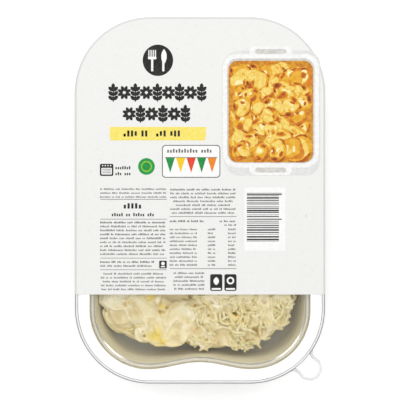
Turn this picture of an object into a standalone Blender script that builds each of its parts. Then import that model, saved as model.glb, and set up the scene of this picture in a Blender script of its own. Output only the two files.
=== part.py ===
"""Potato gratin in a sealed smooth-wall aluminium tray, ready for the oven.

The tray stands on z = 0 with its length along Y, and the origin is on the table under its centre.
A clear lidding film with a peel tab closes it. A printed label lies on the film, apart from the
window at the -Y end, where the gratin shows: potato slices in cream sauce under grated cheese.
"""

import math
import random

import bmesh
import bpy
from mathutils import Matrix, Vector, noise
from mathutils.bvhtree import BVHTree

MM = 0.001

# Tray outline at the rim
PACK_HALF_WIDTH = 76.5 * MM
PACK_HALF_LENGTH = 112.0 * MM
PACK_CORNER = 46.0 * MM
TRAY_HEIGHT = 36.0 * MM
SHEET = 0.6 * MM

# Rolled bead round the edge, and the crease between it and the flat flange
BEAD_RADIUS = 1.3 * MM
BEAD_ANGLES = (-60, -120, 180, 125, 75, 30)
FLANGE_START = 3.3 * MM

# Cavity outline at the flange: the ends are waisted between two lobes
CAVITY_HALF_WIDTH = 67.2 * MM
CAVITY_HALF_LENGTH = 102.8 * MM
CAVITY_CORNER = 35.6 * MM
END_DENT = 4.3 * MM

# Cavity wall, from the flange down
EDGE_RADIUS = 0.8 * MM
DROP_DEPTH = 3.6 * MM
DROP_RUN = 0.7 * MM
LEDGE_RUN = 1.6 * MM
LEDGE_FALL = 0.8 * MM
WALL_TOP_DEPTH = 5.3 * MM
WALL_TOP_INSET = 2.7 * MM
WALL_DRAFT = math.radians(12)
FLOOR_RADIUS = 9.0 * MM
FLOOR_DENT_SHARE = 0.5

# Lidding film and label
GAP = 0.3 * MM
FILM = 0.3 * MM
LABEL = 0.3 * MM
TAB_RADIUS = 7.7 * MM
TAB_REACH = 51.5 * MM
TAB_FILLET = 4.0 * MM
TAB_DIRECTION = math.radians(-45)
LABEL_EDGE_Y = -57.4 * MM

# Gratin: sauce that leaves the corners of the tray free
FILLING_HALF_WIDTH = 60.0 * MM
FILLING_HALF_LENGTH = 90.0 * MM
FILLING_SHIFT_X = -2.0 * MM
FILLING_POWER = 4.6
FILLING_BASE = 0.9 * MM
FILLING_TOP = 23.0 * MM
FILLING_SHOULDER = 17.0 * MM
FILLING_LEVEL_SHARE = 0.72
FILLING_SWELL = 2.2 * MM
FILLING_SWELL_SIZE = 21.0 * MM
FILLING_LUMP = 0.8 * MM
FILLING_LUMP_SIZE = 8.0 * MM
FILLING_WOBBLE = 0.02
FILLING_SIDE = ((12.0 * MM, 1.0), (6.0 * MM, 0.955), (FILLING_BASE, 0.86))
FILLING_GRID = (12, 18)
FILLING_CLEARANCE = 0.8 * MM

# Potato slices
SLICE_THICKNESS = 4.0 * MM
SLICE_RADII = (13.0 * MM, 17.0 * MM)
SLICE_TILT = 0.22
SLICE_SIDES = 14
SLICE_PROFILE = ((0.86, -0.5), (1.0, -0.05), (0.9, 0.5))
SLICE_NARROWING = (0.82, 1.0)
SLICE_OVAL = 0.06
SLICE_UNEVEN = 0.04
SLICE_LIFT = 0.8 * MM
SLICE_OVERHANG = 0.15
SLICE_PITCH_X = 25.0 * MM
SLICE_PITCH_Y = 26.0 * MM
SLICE_STAGGER = 0.25
SLICE_CLEAR = 14.0 * MM
SLICE_SCATTER = 4.0 * MM
SLICE_SEED = 11

# Slices that show in the window: place of the centre, radius, and tilt about X and Y
WINDOW_SLICES = (
    (-48 * MM, -58 * MM, 14 * MM, (0.10, -0.15)),
    (-42 * MM, -74 * MM, 13 * MM, (-0.30, 0.25)),
    (-27 * MM, -66 * MM, 15 * MM, (0.10, 0.18)),
    (-14 * MM, -77 * MM, 13 * MM, (0.16, -0.06)),
    (3 * MM, -62 * MM, 14 * MM, (-0.14, 0.12)),
    (14 * MM, -76 * MM, 14 * MM, (0.20, 0.10)),
    (38 * MM, -70 * MM, 16 * MM, (0.12, 0.20)),
)

# Grated cheese: in the window it gathers towards +X
SHRED_WIDTH = 1.8 * MM
SHRED_THICKNESS = 1.3 * MM
SHRED_STEPS = 5
SHRED_LENGTHS = (14.0 * MM, 26.0 * MM)
SHRED_CURLS = (0.3, 2.6)
SHRED_END_SHARE = 0.6
SHRED_LIFT = 0.3 * MM
SHRED_SEED = 5
SHREDS_UNDER_LABEL = 24
SHREDS_IN_WINDOW = 32
SHRED_GATHER = 1.35
SHRED_SPREAD = 1.9

# Fineness of the outlines, and the angles over which an edge stays sharp
CORNER_STEPS = 8
END_STEPS = 8
TAB_STEPS = 14
FILLET_STEPS = 4
FLOOR_ANGLES = (12, 35, 62, 90)
SHARP_SHEET = math.radians(50)
SHARP_FOOD = math.radians(30)


def clear_scene():
    for obj in list(bpy.data.objects):
        bpy.data.objects.remove(obj)


def material(name, colour, roughness, metallic=0.0, alpha=1.0):
    made = bpy.data.materials.new(name)
    made.use_nodes = True
    shader = made.node_tree.nodes["Principled BSDF"]
    shader.inputs["Base Color"].default_value = (*colour, 1.0)
    shader.inputs["Roughness"].default_value = roughness
    shader.inputs["Metallic"].default_value = metallic
    shader.inputs["Alpha"].default_value = alpha
    return made


def object_from(bm, name, finish, sharp_angle):
    """A smooth-shaded object of this bmesh, which it frees."""
    mesh = bpy.data.meshes.new(name)
    bm.to_mesh(mesh)
    bm.free()
    mesh.shade_smooth()
    mesh.set_sharp_from_angle(angle=sharp_angle)
    mesh.materials.append(finish)
    obj = bpy.data.objects.new(name, mesh)
    bpy.context.scene.collection.objects.link(obj)
    return obj


def arc(centre, radius, start, end, steps):
    """Points of an arc from angle start to angle end, both included."""
    angles = [start + (end - start) * i / steps for i in range(steps + 1)]
    return [Vector((centre[0] + radius * math.cos(a), centre[1] + radius * math.sin(a))) for a in angles]


def outline(half_width, half_length, corner, dent=0.0):
    """A rounded rectangle, anticlockwise, whose two ends dip inwards by dent at the middle."""
    inner_x = half_width - corner
    inner_y = half_length - corner
    quarter = math.pi / 2
    across = [inner_x * (1 - 2 * i / END_STEPS) for i in range(1, END_STEPS)]
    end = [Vector((x, half_length - dent * (1 + math.cos(math.pi * x / inner_x)) / 2)) for x in across]
    points = arc((inner_x, inner_y), corner, 0, quarter, CORNER_STEPS)
    points += end
    points += arc((-inner_x, inner_y), corner, quarter, 2 * quarter, CORNER_STEPS)
    return points + [-p for p in points]


def rim_ring(inset, depth):
    """A ring of the rim, this far in from the pack's edge and below the flange."""
    points = outline(PACK_HALF_WIDTH - inset, PACK_HALF_LENGTH - inset, PACK_CORNER - inset)
    return [Vector((p.x, p.y, TRAY_HEIGHT - depth)) for p in points]


def cavity_ring(inset, depth):
    """A ring of the cavity wall. The waist fades towards the floor."""
    fade = 1 - (1 - FLOOR_DENT_SHARE) * max(depth, 0) / TRAY_HEIGHT
    points = outline(
        CAVITY_HALF_WIDTH - inset, CAVITY_HALF_LENGTH - inset, CAVITY_CORNER - inset, END_DENT * fade
    )
    return [Vector((p.x, p.y, TRAY_HEIGHT - depth)) for p in points]


def wall_foot():
    """Inset and depth where the straight wall meets the floor radius."""
    depth = TRAY_HEIGHT - SHEET - FLOOR_RADIUS * (1 - math.sin(WALL_DRAFT))
    inset = WALL_TOP_INSET + (depth - WALL_TOP_DEPTH) * math.tan(WALL_DRAFT)
    return inset, depth


def tray_rings():
    """Rings of the sheet's upper side, from the end of the rolled bead to the middle of the floor."""
    rings = []
    for degrees in BEAD_ANGLES:
        angle = math.radians(degrees)
        rings.append(rim_ring(BEAD_RADIUS * (1 + math.cos(angle)), BEAD_RADIUS * (1 - math.sin(angle))))
    rings.append(rim_ring(FLANGE_START, 0))
    slope = math.sin(math.radians(45))
    rings.append(cavity_ring(-EDGE_RADIUS, 0))
    rings.append(cavity_ring(-EDGE_RADIUS * (1 - slope), EDGE_RADIUS * (1 - slope)))
    rings.append(cavity_ring(0, EDGE_RADIUS))
    rings.append(cavity_ring(DROP_RUN, DROP_DEPTH))
    rings.append(cavity_ring(DROP_RUN + LEDGE_RUN, DROP_DEPTH + LEDGE_FALL))
    rings.append(cavity_ring(WALL_TOP_INSET, WALL_TOP_DEPTH))
    foot_inset, foot_depth = wall_foot()
    floor_depth = TRAY_HEIGHT - SHEET
    centre_inset = foot_inset + FLOOR_RADIUS * math.cos(WALL_DRAFT)
    for degrees in FLOOR_ANGLES:
        angle = math.radians(degrees)
        depth = floor_depth - FLOOR_RADIUS * (1 - math.sin(angle))
        rings.append(cavity_ring(centre_inset - FLOOR_RADIUS * math.cos(angle), depth))
    return rings


def loft(bm, rings):
    """Extrudes the first ring from ring to ring and returns the last ring's edges."""
    place = bm.verts.layers.int.new("place")
    verts = [bm.verts.new(point) for point in rings[0]]
    for i, vert in enumerate(verts):
        vert[place] = i
    edges = [bm.edges.new((verts[i - 1], verts[i])) for i in range(len(verts))]
    for ring in rings[1:]:
        made = bmesh.ops.extrude_edge_only(bm, edges=edges)["geom"]
        for vert in (item for item in made if isinstance(item, bmesh.types.BMVert)):
            vert.co = ring[vert[place]]
        edges = [item for item in made if isinstance(item, bmesh.types.BMEdge) and item.is_boundary]
    return edges


def cap(bm, edges):
    """Fills one end of a loft."""
    bmesh.ops.contextual_create(bm, geom=edges)


def other_end(bm, edges):
    """The open edges of a loft apart from these."""
    return [edge for edge in bm.edges if edge.is_boundary and edge not in edges]


def make_tray(finish):
    bm = bmesh.new()
    cap(bm, loft(bm, tray_rings()))
    bmesh.ops.recalc_face_normals(bm, faces=bm.faces)
    floor = min(bm.faces, key=lambda f: f.calc_center_median().length_squared)
    if floor.normal.z < 0:
        bmesh.ops.reverse_faces(bm, faces=bm.faces)
    tray = object_from(bm, "tray", finish, SHARP_SHEET)
    sheet = tray.modifiers.new("sheet", "SOLIDIFY")
    sheet.thickness = SHEET
    sheet.offset = -1
    sheet.use_even_offset = True
    return tray


def plate(name, points, base, thickness, finish):
    """A flat plate of this outline, standing on height base."""
    bm = bmesh.new()
    face = bm.faces.new([bm.verts.new((p.x, p.y, base)) for p in points])
    made = bmesh.ops.extrude_face_region(bm, geom=[face])["geom"]
    raised = [v for v in made if isinstance(v, bmesh.types.BMVert)]
    bmesh.ops.translate(bm, verts=raised, vec=(0, 0, thickness))
    bmesh.ops.recalc_face_normals(bm, faces=bm.faces)
    return object_from(bm, name, finish, SHARP_SHEET)


def tab_outline(corner_centre):
    """The peel tab: two hollow fillets and a round end, between two points of the corner arc."""
    reach = PACK_CORNER + TAB_FILLET
    neck = TAB_RADIUS + TAB_FILLET
    spread = math.acos((reach**2 + TAB_REACH**2 - neck**2) / (2 * reach * TAB_REACH))
    centre = corner_centre + TAB_REACH * Vector((math.cos(TAB_DIRECTION), math.sin(TAB_DIRECTION)))
    points = []
    for side in (-1, 1):
        turn = TAB_DIRECTION + side * spread
        fillet = corner_centre + reach * Vector((math.cos(turn), math.sin(turn)))
        to_tab = centre - fillet
        at_tab = math.atan2(to_tab.y, to_tab.x)
        at_corner = turn + math.pi
        at_corner = at_tab + (at_corner - at_tab + math.pi) % (2 * math.pi) - math.pi
        curve = arc(fillet, TAB_FILLET, at_corner, at_tab, FILLET_STEPS)
        if side < 0:
            points += curve
            start = at_tab + math.pi
        else:
            end = at_tab + math.pi
            end = start + (end - start) % (2 * math.pi)
            points += arc(centre, TAB_RADIUS, start, end, TAB_STEPS)[1:-1]
            points += reversed(curve)
    return points, spread


def make_film(finish):
    """The lidding film: the pack's outline with the tab on its lower right corner."""
    corner = Vector((PACK_HALF_WIDTH - PACK_CORNER, PACK_CORNER - PACK_HALF_LENGTH))
    tab, spread = tab_outline(corner)
    lower = arc(corner, PACK_CORNER, -math.pi / 2, TAB_DIRECTION - spread, CORNER_STEPS // 2)
    upper = arc(corner, PACK_CORNER, TAB_DIRECTION + spread, 0, CORNER_STEPS // 2)
    whole = outline(PACK_HALF_WIDTH, PACK_HALF_LENGTH, PACK_CORNER)
    rest = whole[: len(whole) - CORNER_STEPS - END_STEPS]
    return plate("lid_film", rest + lower + tab[1:-1] + upper, TRAY_HEIGHT + GAP, FILM, finish)


def make_label(finish):
    """The printed label: the pack's outline, cut straight where the window starts."""
    whole = outline(PACK_HALF_WIDTH, PACK_HALF_LENGTH, PACK_CORNER)
    points = [p for p in whole if p.y > 0]
    points += [Vector((-PACK_HALF_WIDTH, LABEL_EDGE_Y)), Vector((PACK_HALF_WIDTH, LABEL_EDGE_Y))]
    return plate("label", points, TRAY_HEIGHT + 2 * GAP + FILM, LABEL, finish)


def wall_inset(z):
    """How far the cavity wall stands in from the cavity's edge at height z."""
    foot_inset, foot_depth = wall_foot()
    depth = TRAY_HEIGHT - z
    if depth <= foot_depth:
        return WALL_TOP_INSET + max(depth - WALL_TOP_DEPTH, 0) * math.tan(WALL_DRAFT)
    sine = min((SHEET + FLOOR_RADIUS - z) / FLOOR_RADIUS, 1)
    return foot_inset + FLOOR_RADIUS * (math.cos(WALL_DRAFT) - math.sqrt(1 - sine**2))


def keep_inside(point):
    """Moves a point of the filling in until it is clear of the cavity wall and the floor."""
    z = max(point.z, FILLING_BASE)
    inset = wall_inset(z) + FILLING_CLEARANCE
    corner = CAVITY_CORNER - inset
    core_x = CAVITY_HALF_WIDTH - inset - corner
    core_y = CAVITY_HALF_LENGTH - END_DENT - inset - corner
    out = Vector((max(abs(point.x) - core_x, 0), max(abs(point.y) - core_y, 0)))
    if out.length > corner:
        out *= corner / out.length
    x = math.copysign(min(abs(point.x), core_x) + out.x, point.x)
    y = math.copysign(min(abs(point.y), core_y) + out.y, point.y)
    return Vector((x, y, z))


def filling_edge(angle):
    """The filling's outline in this direction from its centre."""
    across = abs(math.cos(angle)) / FILLING_HALF_WIDTH
    along = abs(math.sin(angle)) / FILLING_HALF_LENGTH
    reach = (across**FILLING_POWER + along**FILLING_POWER) ** (-1 / FILLING_POWER)
    return Vector((reach * math.cos(angle), reach * math.sin(angle)))


def filling_height(x, y, share):
    """Height of the sauce, at this share of the way from the middle to the edge."""
    swell = FILLING_SWELL * noise.noise(Vector((x, y, 0)) / FILLING_SWELL_SIZE)
    lump = FILLING_LUMP * noise.noise(Vector((x, y, 0)) / FILLING_LUMP_SIZE)
    fall = max(share - FILLING_LEVEL_SHARE, 0) / (1 - FILLING_LEVEL_SHARE)
    return FILLING_TOP + swell + lump - (FILLING_TOP - FILLING_SHOULDER) * fall**2


def make_core(finish):
    """The sauce that the slices lie in: a mound with an uneven top and rounded sides."""
    bm = bmesh.new()
    bmesh.ops.create_grid(bm, x_segments=FILLING_GRID[0], y_segments=FILLING_GRID[1], size=1)
    for vert in bm.verts:
        share = max(abs(vert.co.x), abs(vert.co.y))
        angle = math.atan2(vert.co.y * FILLING_HALF_LENGTH, vert.co.x * FILLING_HALF_WIDTH)
        edge = filling_edge(angle)
        wobble = 1 + FILLING_WOBBLE * noise.noise(Vector((edge.x, edge.y, 0)) / FILLING_SWELL_SIZE)
        place = edge * share * wobble
        vert.co = (place.x + FILLING_SHIFT_X, place.y, filling_height(place.x, place.y, share))
    boundary = [e for e in bm.edges if e.is_boundary]
    for height, shrink in FILLING_SIDE:
        made = bmesh.ops.extrude_edge_only(bm, edges=boundary)["geom"]
        for vert in (v for v in made if isinstance(v, bmesh.types.BMVert)):
            vert.co.z = height
            vert.co.x *= shrink
            vert.co.y *= shrink
        boundary = [e for e in made if isinstance(e, bmesh.types.BMEdge) and e.is_boundary]
    bmesh.ops.contextual_create(bm, geom=boundary)
    for vert in bm.verts:
        vert.co = keep_inside(vert.co)
    bmesh.ops.recalc_face_normals(bm, faces=bm.faces)
    return object_from(bm, "gratin", finish, SHARP_FOOD)


def slice_places(rng):
    """Centre, radius and tilt of each top slice: those in the window, then a loose grid."""
    places = [(Vector((x, y)), radius, Vector(tilt)) for x, y, radius, tilt in WINDOW_SLICES]
    rows = int(2 * FILLING_HALF_LENGTH / SLICE_PITCH_Y) + 1
    columns = int(2 * FILLING_HALF_WIDTH / SLICE_PITCH_X) + 1
    for row in range(rows):
        for column in range(columns):
            x = (column - (columns - 1) / 2 + SLICE_STAGGER * (-1) ** row) * SLICE_PITCH_X
            y = (row - (rows - 1) / 2) * SLICE_PITCH_Y
            centre = Vector((x, y)) + Vector((rng.uniform(-1, 1), rng.uniform(-1, 1))) * SLICE_SCATTER
            radius = rng.uniform(*SLICE_RADII)
            tilt = Vector((rng.uniform(-1, 1), rng.uniform(-1, 1))) * SLICE_TILT
            reach = filling_edge(math.atan2(centre.y, centre.x)).length
            inside = reach - (1 - SLICE_OVERHANG) * radius
            centre *= min(1, inside / max(centre.length, MM))
            if all((centre - other).length > SLICE_CLEAR for other, _, _ in places):
                places.append((centre, radius, tilt))
    return places


def make_slice(number, centre, radius, tilt, rng, finish):
    """One potato slice: an uneven disc with a rounded edge, tilted in the sauce."""
    bm = bmesh.new()
    phase = rng.uniform(0, math.tau)
    narrowing = rng.uniform(*SLICE_NARROWING)
    rings = []
    for share, level in SLICE_PROFILE:
        ring = []
        for i in range(SLICE_SIDES):
            angle = math.tau * i / SLICE_SIDES
            oval = SLICE_OVAL * math.sin(2 * angle + phase)
            uneven = SLICE_UNEVEN * math.sin(3 * angle - phase)
            reach = radius * share * (1 + oval + uneven)
            place = (reach * math.cos(angle), reach * narrowing * math.sin(angle))
            ring.append(Vector((*place, level * SLICE_THICKNESS)))
        rings.append(ring)
    top = loft(bm, rings)
    bottom = other_end(bm, top)
    cap(bm, top)
    cap(bm, bottom)
    share = min(1, centre.length / filling_edge(math.atan2(centre.y, centre.x)).length)
    height = filling_height(centre.x, centre.y, share) + SLICE_LIFT
    for angle, axis in ((phase, "Z"), (tilt.y, "Y"), (tilt.x, "X")):
        bmesh.ops.rotate(bm, verts=bm.verts, matrix=Matrix.Rotation(angle, 3, axis))
    bmesh.ops.translate(bm, verts=bm.verts, vec=(centre.x + FILLING_SHIFT_X, centre.y, height))
    for vert in bm.verts:
        vert.co = keep_inside(vert.co)
    bmesh.ops.recalc_face_normals(bm, faces=bm.faces)
    return object_from(bm, f"slice_{number}", finish, SHARP_FOOD)


def surface_of(objects):
    """A tree that finds the top of these meshes, taken together."""
    verts, faces = [], []
    for obj in objects:
        base = len(verts)
        verts += [v.co.copy() for v in obj.data.vertices]
        faces += [[base + i for i in face.vertices] for face in obj.data.polygons]
    return BVHTree.FromPolygons(verts, faces)


def height_on(surface, x, y):
    hit = surface.ray_cast(Vector((x, y, TRAY_HEIGHT)), Vector((0, 0, -1)))[0]
    return hit.z if hit else None


def shred_path(surface, start, heading, length, curl):
    """Points of a steadily bent shred that lies on the surface, or None where it would hang."""
    step = length / SHRED_STEPS
    x, y = start
    path = []
    for _ in range(SHRED_STEPS + 1):
        height = height_on(surface, x, y)
        if height is None or height < FILLING_SHOULDER:
            return None
        path.append(Vector((x, y, height + SHRED_LIFT)))
        x += step * math.cos(heading)
        y += step * math.sin(heading)
        heading += curl / SHRED_STEPS
    heights = [p.z for p in path]
    for i, point in enumerate(path):
        near = heights[max(i - 1, 0) : i + 2]
        point.z = 0.5 * point.z + 0.5 * sum(near) / len(near)
    return path


def make_shred(number, path, finish):
    """A strip of cheese with a flat rectangular section along the path."""
    bm = bmesh.new()
    rings = []
    for i, point in enumerate(path):
        along = (path[min(i + 1, len(path) - 1)] - path[max(i - 1, 0)]).normalized()
        side = along.cross(Vector((0, 0, 1))).normalized() * SHRED_WIDTH / 2
        up = side.cross(along).normalized() * SHRED_THICKNESS / 2
        taper = SHRED_END_SHARE if i in (0, len(path) - 1) else 1.0
        corners = (side + up, -side + up, -side - up, side - up)
        rings.append([keep_inside(point + corner * taper) for corner in corners])
    last = loft(bm, rings)
    first = other_end(bm, last)
    cap(bm, last)
    cap(bm, first)
    bmesh.ops.recalc_face_normals(bm, faces=bm.faces)
    return object_from(bm, f"shred_{number}", finish, SHARP_FOOD)


def shred_start(rng, in_window):
    """A place for a shred: gathered to one side in the window, and even under the label."""
    if in_window:
        x = FILLING_HALF_WIDTH * (1 - SHRED_SPREAD * rng.random() ** SHRED_GATHER)
        y = rng.uniform(-FILLING_HALF_LENGTH, LABEL_EDGE_Y)
    else:
        x = rng.uniform(-FILLING_HALF_WIDTH, FILLING_HALF_WIDTH)
        y = rng.uniform(LABEL_EDGE_Y, FILLING_HALF_LENGTH)
    return x + FILLING_SHIFT_X, y


def make_shreds(surface, finish):
    rng = random.Random(SHRED_SEED)
    shreds = []
    for wanted, in_window in ((SHREDS_IN_WINDOW, True), (SHREDS_UNDER_LABEL, False)):
        found = 0
        while found < wanted:
            length = rng.uniform(*SHRED_LENGTHS)
            curl = rng.choice((-1, 1)) * rng.uniform(*SHRED_CURLS)
            start = shred_start(rng, in_window)
            path = shred_path(surface, start, rng.uniform(0, math.tau), length, curl)
            if path is None:
                continue
            found += 1
            shreds.append(make_shred(len(shreds), path, finish))
    return shreds


def drop_scraps(obj):
    """Keeps the one outer surface: a union can leave loose scraps and sealed hollows."""
    bm = bmesh.new()
    bm.from_mesh(obj.data)
    unseen = set(bm.verts)
    bodies = []
    while unseen:
        queue = [unseen.pop()]
        body = set(queue)
        while queue:
            for edge in queue.pop().link_edges:
                for vert in edge.verts:
                    if vert in unseen:
                        unseen.remove(vert)
                        body.add(vert)
                        queue.append(vert)
        bodies.append(body)
    bodies.sort(key=len)
    bmesh.ops.delete(bm, geom=[v for body in bodies[:-1] for v in body], context="VERTS")
    bm.to_mesh(obj.data)
    bm.free()
    obj.data.shade_smooth()
    obj.data.set_sharp_from_angle(angle=SHARP_FOOD)


def fuse(core, pieces):
    """Joins the pieces to the core with one Boolean union and removes them."""
    group = bpy.data.collections.new("gratin_pieces")
    bpy.context.scene.collection.children.link(group)
    for piece in pieces:
        bpy.context.scene.collection.objects.unlink(piece)
        group.objects.link(piece)
    union = core.modifiers.new("union", "BOOLEAN")
    union.operation = "UNION"
    union.operand_type = "COLLECTION"
    union.collection = group
    union.solver = "EXACT"
    with bpy.context.temp_override(object=core, active_object=core):
        bpy.ops.object.modifier_apply(modifier=union.name)
    for piece in pieces:
        bpy.data.objects.remove(piece)
    bpy.data.collections.remove(group)
    drop_scraps(core)


def make_gratin(finish):
    core = make_core(finish)
    rng = random.Random(SLICE_SEED)
    places = slice_places(rng)
    slices = [make_slice(number, *place, rng, finish) for number, place in enumerate(places)]
    shreds = make_shreds(surface_of([core] + slices), finish)
    fuse(core, slices + shreds)
    return core


def main():
    clear_scene()
    make_tray(material("lacquered aluminium", (0.50, 0.47, 0.38), 0.35, metallic=0.8))
    make_film(material("clear film", (0.95, 0.96, 0.96), 0.08, alpha=0.2))
    make_label(material("printed label", (0.89, 0.90, 0.88), 0.6))
    make_gratin(material("gratin", (0.80, 0.68, 0.40), 0.45))


main()
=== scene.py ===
"""Dresses the potato gratin pack: foil tray, creamy gratin with grated cheese, clear film, printed label.

Lengths are in metres. The pack stands on z = 0 with its length along Y, and the window over the
gratin is at the -Y end. The print holds plain shapes in fields of colour, with no lettering.
"""

import math
import random

import bmesh
import bpy
import numpy as np
from bmesh.types import BMEdge, BMFace, BMVert
from mathutils import Matrix, Vector, noise
from mathutils.bvhtree import BVHTree
from mathutils.geometry import interpolate_bezier


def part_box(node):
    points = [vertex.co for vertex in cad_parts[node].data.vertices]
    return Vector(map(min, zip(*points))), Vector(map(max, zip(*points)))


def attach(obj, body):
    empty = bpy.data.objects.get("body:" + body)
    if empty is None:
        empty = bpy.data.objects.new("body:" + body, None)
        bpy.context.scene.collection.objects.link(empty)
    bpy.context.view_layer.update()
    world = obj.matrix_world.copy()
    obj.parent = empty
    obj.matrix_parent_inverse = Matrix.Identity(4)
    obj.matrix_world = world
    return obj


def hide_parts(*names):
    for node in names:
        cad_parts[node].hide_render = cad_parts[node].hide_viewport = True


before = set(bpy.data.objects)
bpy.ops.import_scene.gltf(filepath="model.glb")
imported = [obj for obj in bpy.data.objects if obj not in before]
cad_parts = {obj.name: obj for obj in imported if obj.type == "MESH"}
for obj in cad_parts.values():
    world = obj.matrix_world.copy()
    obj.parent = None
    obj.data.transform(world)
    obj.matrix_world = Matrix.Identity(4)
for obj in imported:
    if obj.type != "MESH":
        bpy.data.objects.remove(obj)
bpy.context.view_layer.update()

MM = 0.001
TURN = 2 * math.pi
QUARTER = math.pi / 2
UP = Vector((0, 0, 1))
WHITE = (1.0, 1.0, 1.0, 1.0)

# Pack, from the frame
HALF_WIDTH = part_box("tray")[1].x
HALF_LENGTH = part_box("tray")[1].y
RIM_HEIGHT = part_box("tray")[1].z
LABEL_EDGE_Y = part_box("label")[0].y
PACK_CORNER = 46.0 * MM

# Tray section, from the rolled bead to the floor
SHEET = 0.6 * MM
BEAD_RADIUS = 1.3 * MM
BEAD_ANGLES = [math.radians(-60 - 22.5 * i) for i in range(13)]
GROOVE_START = 2.5 * MM
GROOVE_END = 3.8 * MM
GROOVE_DEPTH = 0.7 * MM
BARE_BEAD_STEPS = 8
# The bead's step that carries dark painted shade on its inner flank
FLANK_SHADE_STEP = 10
CAVITY_HALF_WIDTH = 67.2 * MM
CAVITY_HALF_LENGTH = 102.8 * MM
CAVITY_CORNER = 35.6 * MM
END_DENT = 4.3 * MM
EDGE_ROUNDING = 0.8 * MM
LEDGE_START = (0.6 * MM, 3.3 * MM)
LEDGE_ROUNDING = 0.25 * MM
LEDGE_BREAK = (2.1 * MM, 3.55 * MM)
WALL_TOP = (3.15 * MM, 4.25 * MM)
WALL_TOP_ROUNDING = 0.35 * MM
WALL_DRAFT = math.radians(12)
FLOOR_ROUNDING = 11.0 * MM
FLOOR_DENT_SHARE = 0.5

# Film and label, which lie on the flange and bend down over the bead
FILM = 0.12 * MM
FILM_GLOSS = 0.012
# Grey painted shade on the film's bent edge and on the tab's edge: how much it hides, and the share of that
# left further in on the tab
EDGE_SHADE_ALPHA = 0.6
TAB_SHADE_ALPHA = 0.29
FADED_EDGE_SHADE = 0.55
FILM_EDGE_ANGLE = math.radians(28)
TAB_EDGE = 2.0 * MM
FILM_TOP = RIM_HEIGHT + 0.17 * MM
LABEL = 0.14 * MM
LABEL_TOP = FILM_TOP + 0.18 * MM
BEND_ANGLE = math.radians(52)
TAB_RADIUS = 7.7 * MM
TAB_REACH = 51.5 * MM
TAB_FILLET = 4.0 * MM
TAB_DIRECTION = -math.pi / 4
TAB_CURL = 0.5 * MM
EDGE_RINGS = 3
BEND_RINGS = 5
SHEET_INSETS = (2.5, 6, 14, 26)
SHARP_ANGLE = math.radians(35)

# Print
PRINT_GRAIN = 0.35 * MM
INK_PROUD = 0.05 * MM
INK_LAYER = 0.04 * MM
INK_SUNK = 0.06 * MM
INK_STEPS = 8
DISH_LIFT = 0.001 * MM
SLICE_REACH = (25.4, 30.6)
CODE_LENGTH = 30.5
CODE_MODULES = 95
CODE_TOP = 4.6
CODE_BOTTOM = -25.9
CODE_LAST_GUARD = -25.0
DISH_MIDDLE = (43.2, 54.3)
DISH_REACH = (25.6, 30.8)
DISH_CORNER = 5.4
PRINT_EXPOSURE = 0.885
# Inks: the two display colours that each varies between, and its layer
INKS = {
    "black": ((22, 22, 21), (40, 40, 38), 0),
    "black_top": ((22, 22, 21), (40, 40, 38), 2),
    "white": ((250, 250, 249), (255, 255, 254), 1),
    "grey": ((70, 70, 69), (96, 96, 94), 0),
    "grey_top": ((96, 96, 95), (116, 116, 114), 2),
    "yellow": ((249, 229, 104), (253, 235, 122), 0),
    "yellow_top": ((248, 205, 20), (252, 214, 40), 2),
    "green": ((20, 148, 64), (34, 160, 78), 0),
    "green_top": ((20, 140, 62), (30, 152, 72), 2),
    "light_green": ((128, 190, 50), (142, 202, 62), 1),
    "orange": ((236, 130, 24), (243, 142, 38), 2),
    "red": ((226, 62, 34), (234, 76, 48), 2),
    "shade": ((226, 226, 224), (234, 234, 232), 0),
    "dish": ((244, 244, 242), (253, 253, 252), 1),
    "shade_top": ((206, 204, 198), (222, 220, 214), 2),
    "sauce": ((196, 122, 28), (224, 160, 48), 3),
    "amber": ((206, 116, 22), (224, 142, 36), 4),
    "browned": ((170, 82, 18), (196, 108, 26), 4),
    "golden": ((228, 160, 32), (240, 184, 54), 4),
    "creamy": ((242, 202, 90), (250, 224, 126), 4),
    "toasted": ((120, 54, 14), (150, 72, 20), 4),
    "creamy_top": ((252, 234, 160), (254, 244, 194), 4),
}
# Spots on each slice of the picture: their tones from the outside in, the shares of the slice's radius
# that they lie away from its middle, and the shares of it that they reach
SLICE_SPOTS = (
    (("golden",), 0.1, 0.6, 0.2, 0.4),
    (("creamy", "creamy_top"), 0, 0.6, 0.3, 0.5),
    (("golden", "amber", "browned"), 0.5, 0.85, 0.4, 0.66),
    (("amber", "browned", "toasted"), 0.65, 0.9, 0.26, 0.5),
    (("creamy_top",), 0.2, 0.8, 0.1, 0.24),
    (("amber", "browned"), 0.2, 0.8, 0.16, 0.34),
)

# Gratin
FILLING_HALF_WIDTH = 60.0 * MM
FILLING_HALF_LENGTH = 89.5 * MM
FILLING_SHIFT_X = -2.0 * MM
FILLING_POWER = 4.6
FILLING_BASE = 0.9 * MM
FILLING_CLEARANCE = 0.5 * MM
FILLING_CEILING = RIM_HEIGHT - 2.5 * MM
FILLING_KNEE = 30 * MM
FILLING_STEPS = 120
# The mound's outline at each height: its share of the full outline, and the height in millimetres
FILLING_PROFILE = (
    (0.86, 0.9), (0.955, 6), (0.995, 12), (0.985, 15),
    (0.95, 17.5), (0.88, 19.7), (0.76, 21.4), (0.55, 22.3),
)
ROUGH_ABOVE = 12 * MM
LOWEST_REST = 15 * MM
SLICE_DENTS = 0.9 * MM
CORE_VOXEL = 0.75 * MM
WINDOW_VOXEL = 0.49 * MM
WINDOW_SEAM_Y = LABEL_EDGE_Y + 9 * MM
FILL_BELOW = 0.3 * MM
FILL_SHARE = 0.7
FILL_ABOVE = 17 * MM
# Size of the ochre painted shade in each pit, as a share of the pit's radius
PIT_SHADE = 0.6
RISE = 2.2 * MM
RISE_REACH = 13 * MM

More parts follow.
